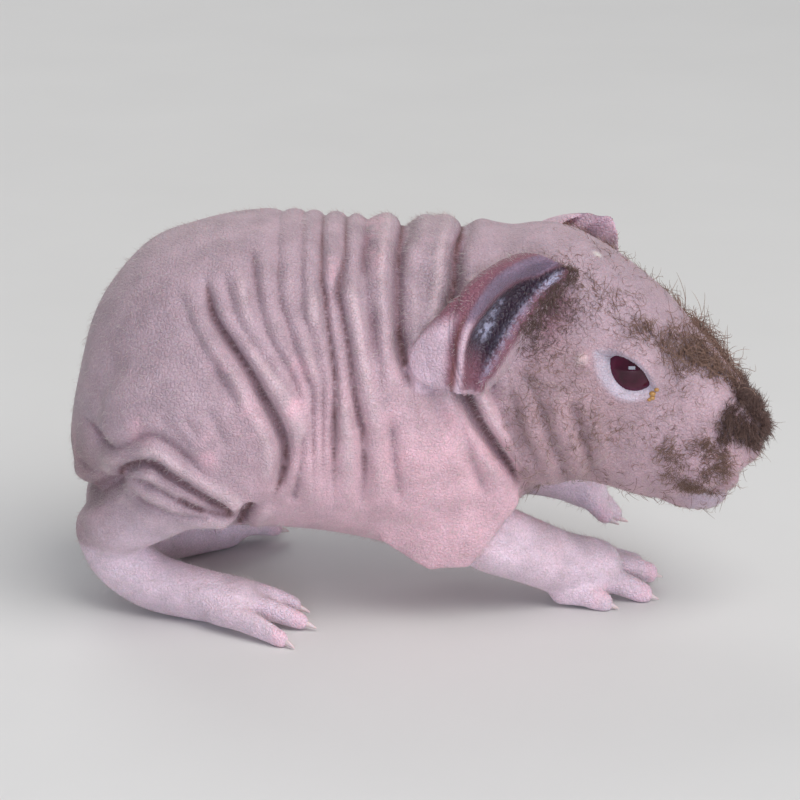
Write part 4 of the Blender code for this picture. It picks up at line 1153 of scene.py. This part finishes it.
def paint_masks(skin, points, facing, edges):
    """Writes on the skin how far each colour reaches, and keeps where hair can't grow."""
    shares = MADE["shares"] = node_shares(points + np.array(PLACE), edges)
    head = shares["head"]
    inner = to_head(points)
    x, y, z = points.T
    ahead, aside, above = inner.T
    side_points = points[:, (0, 2)]
    trunk = 1 - ease(head + shares["ear"] + shares["forepaw"] + shares["hindfoot"], 0, 1)
    # Painted shade: the fold valleys are darkened over their red brown tone, and so are the mouth
    # line, the lip's groove and the nostrils.
    valley_tone_and_shade = 0.92 * ease(fold_cuts(points, facing, 0.4), 0.3, 1.5) * trunk
    valley_tone_and_shade = largest(valley_tone_and_shade, ease(-face_depths(inner), 0.3, 1.2) * head * 0.5)
    # Painted shade: the bottoms of the deepest fold valleys go near black.
    deep = 0.65 * ease(fold_cuts(points, facing, CUT_WIDTH), 0.8, 1.7) * trunk
    relief = fold_depths(points, facing) * trunk
    chest = ease(x, -8, 8) * ease(36 - z, 0, 14)
    blush = ease(52 - z, 0, 30) * ease(x, -34, -6) * 0.75 + chest * 0.6
    # Below the rump: its red brown tone, with painted shade under the bulge.
    rear = ease(-x, 38, 46) * ease(32 - z, 0, 8) * trunk
    paw = largest(shares["forepaw"], shares["hindfoot"], shares["foreleg"] * 0.9,
                  shares["hindleg"] * ease(20 - z, 0, 6) * 0.7)
    snout = ease(ahead, -24, -12) * ease(-above, -8, 0)
    cheek = ease(ahead, -44, -30) * ease(-16 - ahead, -2, 6)
    dusk = head * np.clip(0.75 * cheek * ease(10 - above, 0, 8) + 0.35 * snout, 0, 1)
    hairy = 0.8 * blob(inner[:, (0, 2)], (-34, 7.8), (2.8, 5.2)) * ease(np.abs(aside), 9, 12)
    across, down, outside = ear_places(points, shares["ear"])
    on_ear = ease(shares["ear"], 0.15, 0.6) * ease(across, 0.45, 0.8)
    ears = {name: on_ear * part for name, part in ear_masks(across, down, outside).items()}
    # Painted light: the far ear gets the flap's pale colour for the light on it.
    ears["flap_and_lit_ear"] = largest(ears["flap_and_lit_ear"], 0.85 * on_ear * ease(y, -3, 3))
    MADE["bare"] = largest(*(ears[name] for name in ("cup", "ridge_highlight", "rim", "flap_and_lit_ear")),
                           4 * spread(valley_tone_and_shade, edges, 12))
    chin = ease(ahead, -8, -3) * ease(-above, 8.5, 11)
    specks = [near_to(points, at, size, (1, 0.1, 1)) for at, size in SPECKS]
    mark = largest(deep, 0.9 * near_to(inner, np.add(WART, (0.3, -0.5, -0.1)), 0.3), *specks)
    fleck = largest(0.3 * near_to(inner, WART, 0.9), 0.6 * near_to(inner, SCAR, 0.7),
                    near_to(points, *FLECK, (1, 0.1, 1)))
    masks = {
        "mark": mark,
        "fleck": fleck * (1 - mark),
        "blush": blush * (1 - head * 0.7),
        "paw": spread(paw, edges, 60),
        "dusk": dusk,
        # Painted shade on the sides of the folds.
        "shade": 0.7 * ease(-relief, 0.15, 1.0),
        # Painted light on the crests of the folds.
        "crest_light": 0.5 * ease(relief, 0.1, 0.45),
        "valley_tone_and_shade": largest(valley_tone_and_shade, 0.9 * ears["crease"], 0.38 * rear),
        "ear": largest(ears["back"], hairy),
        "cup": ears["cup"],
        "rim": ears["rim"],
        "ridge_highlight": ears["ridge_highlight"],
        "flap_and_lit_ear": ears["flap_and_lit_ear"],
        "pale": largest(pale_ring(inner), 0.55 * chin),
        "flush": largest(
            *(blob(side_points, at, (1.3, 2.6)) * trunk for at in BLOTCHES),
            *(0.9 * near_to(points, np.array(tip), 2.2) for _, tip in all_toes()),
            near_to(inner, WART, 1.3),
        ),
        "gloss": largest(ears["cup"], ears["ridge_highlight"]),
    }
    for name, values in masks.items():
        set_mask(skin, name, spread(values, edges, 1))


class PUP_OT_skin(Operator):
    """Build the one skin with its folds, ears and paws"""

    bl_idname = "pup.skin"
    bl_label = "Skin"

    def execute(self, context):
        settings = context.scene.pup_skin
        voxel = settings.voxel / MM
        pieces = [blended_body(voxel)]
        for side in SIDES:
            arm = build("arm", fore_limb, side)
            remesh(arm, ARM_VOXEL)
            smooth(arm, 6)
            thick = {"thickness": EAR_THICKNESS * MM, "offset": 0}
            pieces += [arm, ear_sheet(side, SOLIDIFY=thick)]
        skin = joined("skin", pieces)
        remesh(skin, voxel)
        smooth(skin, 2)
        points = coordinates(skin)
        points[:, 2] -= 0.6 * (1 - ease(points[:, 2], 0, 4))
        points[:, 2] = np.maximum(points[:, 2], FLOOR_GAP)
        points = from_head(open_lids(to_head(points)))
        move_to(skin, points)
        facing = normals(skin)
        points -= facing * (0.4 * fold_cuts(points, facing, CUT_WIDTH))[:, None]
        move_to(skin, points)
        paint_masks(skin, points, facing, read(skin.data.edges, "vertices", 2, np.int32))
        seat(skin, skin_material(settings), "skin", *FLESH_NODES)
        hair = context.scene.pup_hair
        MADE.update(points=points, facing=facing, lie=coat_lie(points), fullness=hair.fullness,
                    draw=np.random.default_rng(hair.seed))
        return {"FINISHED"}


def eye_material(settings):
    """Maroon round a darker middle, under a wet front."""
    made, wiring, inputs = material("pup_eye", 0.03, Specular_IOR_Level=0.45)
    iris = wiring.noise(wiring.node("TexCoord", {}).outputs["Object"], 900.0, 3.0)
    share = wiring.ramp(wiring.mask("gaze"), 0.80, 0.93, 0.0, 1.0)
    tone = wiring.blend(share, settings.maroon, settings.pupil)
    wiring.join(inputs["Base Color"], wiring.shaded(tone, wiring.ramp(iris, 0.3, 0.7, 0.75, 1.25)))
    return made


def eyeball(bm, side):
    place = HEAD @ Matrix.Translation(eye_centre(side)) @ Matrix.Rotation(math.radians(90), 4, "X")
    bmesh.ops.create_uvsphere(bm, u_segments=72, v_segments=48, radius=EYE_RADIUS - 0.02,
                              matrix=Matrix.Scale(MM, 4) @ place)


class PUP_OT_eyes(Operator):
    """Build the two wet eyeballs"""

    bl_idname = "pup.eyes"
    bl_label = "Eyes"

    def execute(self, context):
        made = eye_material(context.scene.pup_eye)
        for side, label in LABELS.items():
            eye = build("eyeball_" + label, eyeball, side)
            gaze = np.array((0.08, side, 0.1))
            away = to_head(coordinates(eye)) - eye_centre(side)
            set_mask(eye, "gaze", away @ (gaze / np.linalg.norm(gaze)) / EYE_RADIUS)
            seat(eye, made, "eye", "eye_" + label)
        return {"FINISHED"}


def lid_edge(bm, side):
    """A thin moist ring round the eyeball, along the edge of the lid's opening."""
    outline = lid_line(0.3)[:-1]
    away = outline - (EYE[0], EYE[2])
    out = np.sqrt(np.maximum((EYE_RADIUS + 0.2) ** 2 - (away**2).sum(1), 0.4))
    centre = np.stack([outline[:, 0], (EYE[1] + out) * side, outline[:, 1]], 1)
    ahead = unit(np.roll(centre, -1, axis=0) - np.roll(centre, 1, axis=0))
    up = unit(centre - eye_centre(side))
    cos, sin = circle(10)
    half, thick = LID_RING
    rings = []
    for at, across, rise in zip(centre, np.cross(ahead, up), up):
        ring = at + np.outer(cos * half, across) + np.outer(sin * thick, rise)
        rings.append([bm.verts.new(Vector(p) * MM) for p in from_head(ring)])
    bridge(bm, rings + rings[:1])
    bmesh.ops.recalc_face_normals(bm, faces=bm.faces)


def crumbs(bm, side, inner):
    """Dried drops on the outermost skin at each place of the table."""
    for x, z, size in CRUMBS:
        gap = np.hypot(inner[:, 0] - x, inner[:, 2] - z)
        near = inner[(gap < 0.4) & (inner[:, 1] * side > 0)]
        ball(bm, from_head(near[np.argmax(np.abs(near[:, 1]))]), (size, size, 0.8 * size))


class PUP_OT_lids(Operator):
    """Build the moist edge of each eyelid"""

    bl_idname = "pup.lids"
    bl_label = "Lid edges"

    def execute(self, context):
        made = grained("pup_lid", 0.32, context.scene.pup_skin.pale, 0.82, "Speckle", 1.6,
                       (0.4, 0.00008), Subsurface_Weight=0.2, Subsurface_Scale=0.001,
                       Specular_IOR_Level=0.5)
        amber = material("pup_crumb", 0.3, Base_Color=AMBER)[0]
        inner = to_head(MADE["points"])
        for side, label in LABELS.items():
            seat(build("lid_edge_" + label, lid_edge, side), made, "skin")
            seat(build("crumbs_" + label, crumbs, side, inner), amber, "skin")
        return {"FINISHED"}


def claw_rings(tip, way, length):
    """A short tapered claw whose root is inside the end of a toe."""
    way = Vector(way).normalized()
    side = np.cross((0, 0, 1.0), way)
    side /= np.linalg.norm(side)
    up = np.cross(way, side)
    cos, sin = circle(14)
    rings = []
    for t, radius in CLAW:
        at = np.array(Vector(tip) + way * length * t + Vector((0, 0, -0.45 * max(t, 0) ** 2)))
        rings.append(at + np.outer(cos * radius * 0.75, side) + np.outer(sin * radius, up))
    return rings


def all_claws(bm, length):
    for root, tip in all_toes():
        way = (tip[0] - root[0], tip[1] - root[1], -0.12 * math.dist(root, tip))
        loft(bm, claw_rings(tip, way, length))
    bmesh.ops.recalc_face_normals(bm, faces=bm.faces)


class PUP_OT_claws(Operator):
    """Build the claws of all four feet"""

    bl_idname = "pup.claws"
    bl_label = "Claws"

    def execute(self, context):
        settings = context.scene.pup_claw
        made = grained("pup_claw", 0.3, settings.horn, 0.8, "Mottle", 0.8, Subsurface_Weight=0.15,
                       Subsurface_Scale=0.0008)
        claws = build("claws", all_claws, settings.length / MM)
        points = coordinates(claws)
        points[:, 2] = np.maximum(points[:, 2] - CLAW_DROP, CLAW_GAP)
        move_to(claws, points)
        seat(claws, made, "paw_skin")
        return {"FINISHED"}


def hair_material(name, tip, root, rough=0.42):
    """Hair darker at its root, each strand a little lighter or darker than the next."""
    made, wiring, inputs = material(name, rough, Specular_IOR_Level=0.4)
    wiring.join(inputs["Base Color"], wiring.blend(wiring.mask("tone"), root, tip))
    return made


def patches(inner, rows):
    """How thickly a table's hair grows at each point of the head's frame, alike on both sides."""
    folded = np.stack([inner[:, 0], np.abs(inner[:, 1]), inner[:, 2]], 1)
    grown = [thick * hump(lengths(folded - at), 0, reach) for *at, reach, thick in rows]
    return largest(*grown)


def around_head(points):
    """An unwrap of the head: the turn about its length, and the place along it."""
    inner = to_head(points)
    turn = np.arctan2(inner[:, 1], inner[:, 2] + 3) / (2 * np.pi) + 0.5
    return np.stack([turn, (inner[:, 0] + 62) / 70], 1)


def around_trunk(points):
    turn = np.arctan2(points[:, 1], points[:, 2] - 30) / (2 * np.pi) + 0.5
    return np.stack([turn, (points[:, 0] + 55) / 115], 1)


def around_feet(points):
    """One strip for each foot: the place along it, and the turn about its length."""
    x, y, z = points.T
    strip = 2.0 * (x > 0) + (y > 0)
    along = np.where(x > 0, x / 42, (x + 52) / 52)
    middle = np.where(x > 0, 0.0, 12.0) * np.sign(y)
    turn = np.arctan2(y - middle, z - 5) / (2 * np.pi) + 0.5
    return np.stack([(strip + 0.05 + 0.9 * np.clip(along, 0, 1)) / 4, turn], 1)


def strand_mesh(name, start, way, out, look, curl, draw):
    """Tapered three-sided strands, each closed, that rise from the skin and bend and curl."""
    steps = look.steps
    count = len(start)
    side = np.cross(out, way)
    rise = np.radians(look.rise + 14 * draw.standard_normal(count)).clip(0.06, 1.35)
    bend = np.radians(look.bend) * (1 + 0.3 * draw.standard_normal(count))
    length = look.length * np.exp(0.28 * draw.standard_normal(count))
    at = start - ROOT_DEPTH * out
    corners = []
    for t in np.arange(steps) / steps:
        lean = np.maximum(rise - bend * t, 0.03)[:, None]
        turn = (curl * t)[:, None]
        along = np.cos(lean) * (np.cos(turn) * way + np.sin(turn) * side) + np.sin(lean) * out
        u = unit(np.cross(along, out))
        v = np.cross(along, u)
        thick = look.width * (1 - 0.7 * t**1.5)
        corners += [at + thick * (cos * u + sin * v) for cos, sin in zip(*circle(3))]
        at = at + along * (length / steps)[:, None]
    corners.append(at)
    faces = [(2, 1, 0)]
    last = 3 * steps - 3
    for k in range(0, last, 3):
        for c in range(3):
            d = (c + 1) % 3
            faces += [(k + c, k + d, k + 3 + d), (k + c, k + 3 + d, k + 3 + c)]
    faces += [(last + c, last + (c + 1) % 3, 3 * steps) for c in range(3)]
    everything = np.array(corners).transpose(1, 0, 2).reshape(-1, 3)
    everything[:, 2] = np.maximum(everything[:, 2], FLOOR_GAP)
    ring = np.arange(count)[:, None, None] * len(corners) + np.array(faces)[None]
    mesh = bpy.data.meshes.new(name)
    mesh.from_pydata((everything * MM).tolist(), [], ring.reshape(-1, 3).tolist())
    heights = np.append(np.repeat(np.arange(steps) / steps, 3), 1.0)
    return mesh, np.tile(heights, count), len(corners)


def grow(name, weight, made, unwrap):
    """One piece of tufts rooted where the weight is high, lying along the coat."""
    look = LOOKS[name]
    draw, points, facing = MADE["draw"], MADE["points"], MADE["facing"]
    tufts = int(look.tufts * MADE["fullness"])
    if weight.sum() <= 0:
        raise RuntimeError(name + " has nowhere to grow")
    roots = np.sort(draw.choice(len(points), tufts, p=weight / weight.sum()))
    strands = np.repeat(roots, look.each)
    out = facing[strands]
    way = MADE["lie"][strands]
    way = unit(way - out * (way * out).sum(1)[:, None], 1e-6)
    side = np.cross(out, way)
    stray = np.repeat(draw.standard_normal(tufts) * look.stray, look.each)
    stray = (stray + 0.3 * draw.standard_normal(len(strands)))[:, None]
    aside = (draw.random((2, len(strands), 1)) - 0.5) * look.clump
    start = points[strands] + way * aside[0] + side * aside[1]
    way = np.cos(stray) * way + np.sin(stray) * side
    turn = np.repeat(draw.standard_normal(tufts), look.each)
    turn += 0.3 * draw.standard_normal(len(strands))
    curl = np.radians(look.curl) * turn
    mesh, heights, each = strand_mesh(name, start, way, out, look, curl, draw)
    hair = link(name, mesh)
    tone = np.repeat(draw.random(len(strands)), each)
    set_mask(hair, "tone", 0.25 + 0.6 * tone * (0.3 + 0.7 * heights))
    place = np.repeat(unwrap(points[strands]), each, axis=0)
    place[:, 1] += STRAND_PATCH * (heights - 0.5)
    place[:, 0] += STRAND_PATCH * (np.tile(np.arange(each) % 3, len(strands)) / 3 - 0.33)
    corner = read(mesh.loops, "vertex_index", 0, np.int32)
    layer = mesh.uv_layers.new(name="OFBake")
    layer.data.foreach_set("uv", np.clip(place, 0, 1)[corner].astype(np.float32).ravel())
    seat(hair, made, "hair")


class PUP_OT_muzzle_hair(Operator):
    """Grow the dark cap of the nose, the golden bridge and the whisker pads"""

    bl_idname = "pup.muzzle_hair"
    bl_label = "Muzzle hair"

    def execute(self, context):
        settings = context.scene.pup_hair
        inner = to_head(MADE["points"])
        dark = hair_material("pup_hair_dark", scaled(settings.dark, 1.7), settings.dark)
        gold = hair_material("pup_hair_gold", settings.gold, scaled(settings.dark, 1.2))
        brown = hair_material("pup_hair_pad", settings.gold, settings.dark)
        for name, rows, power, made in (
            ("hair_nose", NOSE_CAP, 1.5, dark), ("hair_bridge", BRIDGE, 1.5, gold),
            ("hair_loose", BRIDGE, 1, gold), ("hair_pads", WHISKER_PAD, 1.2, brown),
        ):
            grow(name, patches(inner, rows) ** power, made, around_head)
        return {"FINISHED"}


class PUP_OT_face_hair(Operator):
    """Grow the dark hair before the ears and the sparse curls of the face"""

    bl_idname = "pup.face_hair"
    bl_label = "Face hair"

    def execute(self, context):
        settings = context.scene.pup_hair
        inner = to_head(MADE["points"])
        face = MADE["shares"]["head"] * ease(40 + inner[:, 0], 0, 4)
        face = face * (1 - 0.9 * pale_ring(inner)) * (inside_opening(inner[:, (0, 2)]) < -1.5)
        dark = hair_material("pup_hair_ear", scaled(settings.dark, 1.5), settings.dark)
        curls = hair_material("pup_hair_curl", settings.gold, settings.dark)
        fuzz = hair_material("pup_hair_fuzz", settings.down, settings.gold)
        front = patches(inner, EAR_FRONT) ** 1.2 * (MADE["bare"] < 0.25)
        grow("hair_ear_front", front, dark, around_head)
        grow("hair_curls", (patches(inner, CURLS) + 0.10) * face, curls, around_head)
        grow("fuzz_face", face * (0.4 + 0.6 * ease(8 - inner[:, 2], 0, 8)), fuzz, around_head)
        return {"FINISHED"}


class PUP_OT_down(Operator):
    """Grow the fine pale down of the body and the feet"""

    bl_idname = "pup.down"
    bl_label = "Down"

    def execute(self, context):
        settings = context.scene.pup_hair
        shares = MADE["shares"]
        x, _, z = MADE["points"].T
        pale = hair_material("pup_down", settings.down, scaled(settings.down, 0.7), 0.5)
        limbs = shares["forepaw"] + shares["hindfoot"] + shares["foreleg"]
        trunk = shares["torso"] + shares["neck"] + shares["hindleg"] + 0.6 * shares["ear"]
        trunk = trunk * ease(z, 4, 8) * (MADE["bare"] < 0.2)
        upper = ease(z, 30, 38)
        nape = 1 + 2 * ease(x, -12, 6)
        grow("down_back", trunk * upper * nape, pale, around_trunk)
        grow("down_flanks", trunk * (1 - upper) * nape, pale, around_trunk)
        grow("down_feet", limbs * ease(z, 1, 2), pale, around_feet)
        return {"FINISHED"}


def aim(obj, middle, way, distance=1.0):
    """Places the light or camera off the middle and turns it to look there."""
    obj.location = middle + way * distance
    obj.rotation_euler = (-way).to_track_quat("-Z", "Y").to_euler()


class PUP_OT_stage(Operator):
    """Lay the pale floor and set the soft lights and the camera"""

    bl_idname = "pup.stage"
    bl_label = "Stage"

    def execute(self, context):
        settings = context.scene.pup_stage
        scene = context.scene
        bm = bmesh.new()
        bmesh.ops.create_grid(bm, x_segments=4, y_segments=4, size=4)
        floor = new_piece("floor", bm)
        floor.location.z = -FLOOR_DROP
        put_on(floor, grained("pup_floor", 0.7, settings.floor, 0.94, "Mottle", 0.1))
        world = bpy.data.worlds.new("soft_room")
        world.use_nodes = True
        sky = world.node_tree.nodes["Background"]
        sky.inputs["Color"].default_value = SKY
        sky.inputs["Strength"].default_value = SKY_STRENGTH
        scene.world = world
        middle = (PLACE + Vector(CAMERA_TARGET)) * MM
        for name, at, size, share, tint in LIGHTS:
            data = bpy.data.lights.new(name, "AREA")
            data.shape = "RECTANGLE"
            data.size, data.size_y = size
            data.energy = settings.key * share
            data.color = tint
            aim(link(name, data), middle, Vector(at))
        lift = math.radians(CAMERA_ELEVATION)
        data = bpy.data.cameras.new("camera")
        data.sensor_width = SENSOR
        data.lens = SENSOR * CAMERA_DISTANCE / (MM_PER_PIXEL * FRAME_PIXELS)
        scene.camera = link("camera", data)
        aim(scene.camera, middle, Vector((0, -math.cos(lift), math.sin(lift))),
            CAMERA_DISTANCE * MM)
        scene.view_settings.view_transform = "Standard"
        return {"FINISHED"}


class PUP_PT_panel(Panel):
    """The pup's pieces"""

    bl_idname = "PUP_PT_panel"
    bl_label = "Hairless Pup"
    bl_space_type = "VIEW_3D"
    bl_region_type = "UI"
    bl_category = "Pup"

    def draw(self, context):
        for piece in PIECES:
            self.layout.operator(piece.bl_idname)


PIECES = (
    PUP_OT_skin, PUP_OT_eyes, PUP_OT_lids, PUP_OT_claws, PUP_OT_muzzle_hair, PUP_OT_face_hair,
    PUP_OT_down, PUP_OT_stage,
)
SETTINGS = {
    "pup_skin": PupSkinSettings,
    "pup_eye": PupEyeSettings,
    "pup_claw": PupClawSettings,
    "pup_hair": PupHairSettings,
    "pup_stage": PupStageSettings,
}


def register():
    for kind in (*SETTINGS.values(), *PIECES, PUP_PT_panel):
        bpy.utils.register_class(kind)
    for name, kind in SETTINGS.items():
        setattr(bpy.types.Scene, name, PointerProperty(type=kind))


def unregister():
    for name in SETTINGS:
        delattr(bpy.types.Scene, name)
    for kind in reversed((*SETTINGS.values(), *PIECES, PUP_PT_panel)):
        bpy.utils.unregister_class(kind)


def main():
    register()
    for old in list(bpy.data.objects):
        if old.name in ("Cube", "Light", "Camera"):
            bpy.data.objects.remove(old)
    for piece in PIECES:
        group, name = piece.bl_idname.split(".")
        getattr(getattr(bpy.ops, group), name)()


if __name__ == "__main__":
    main()
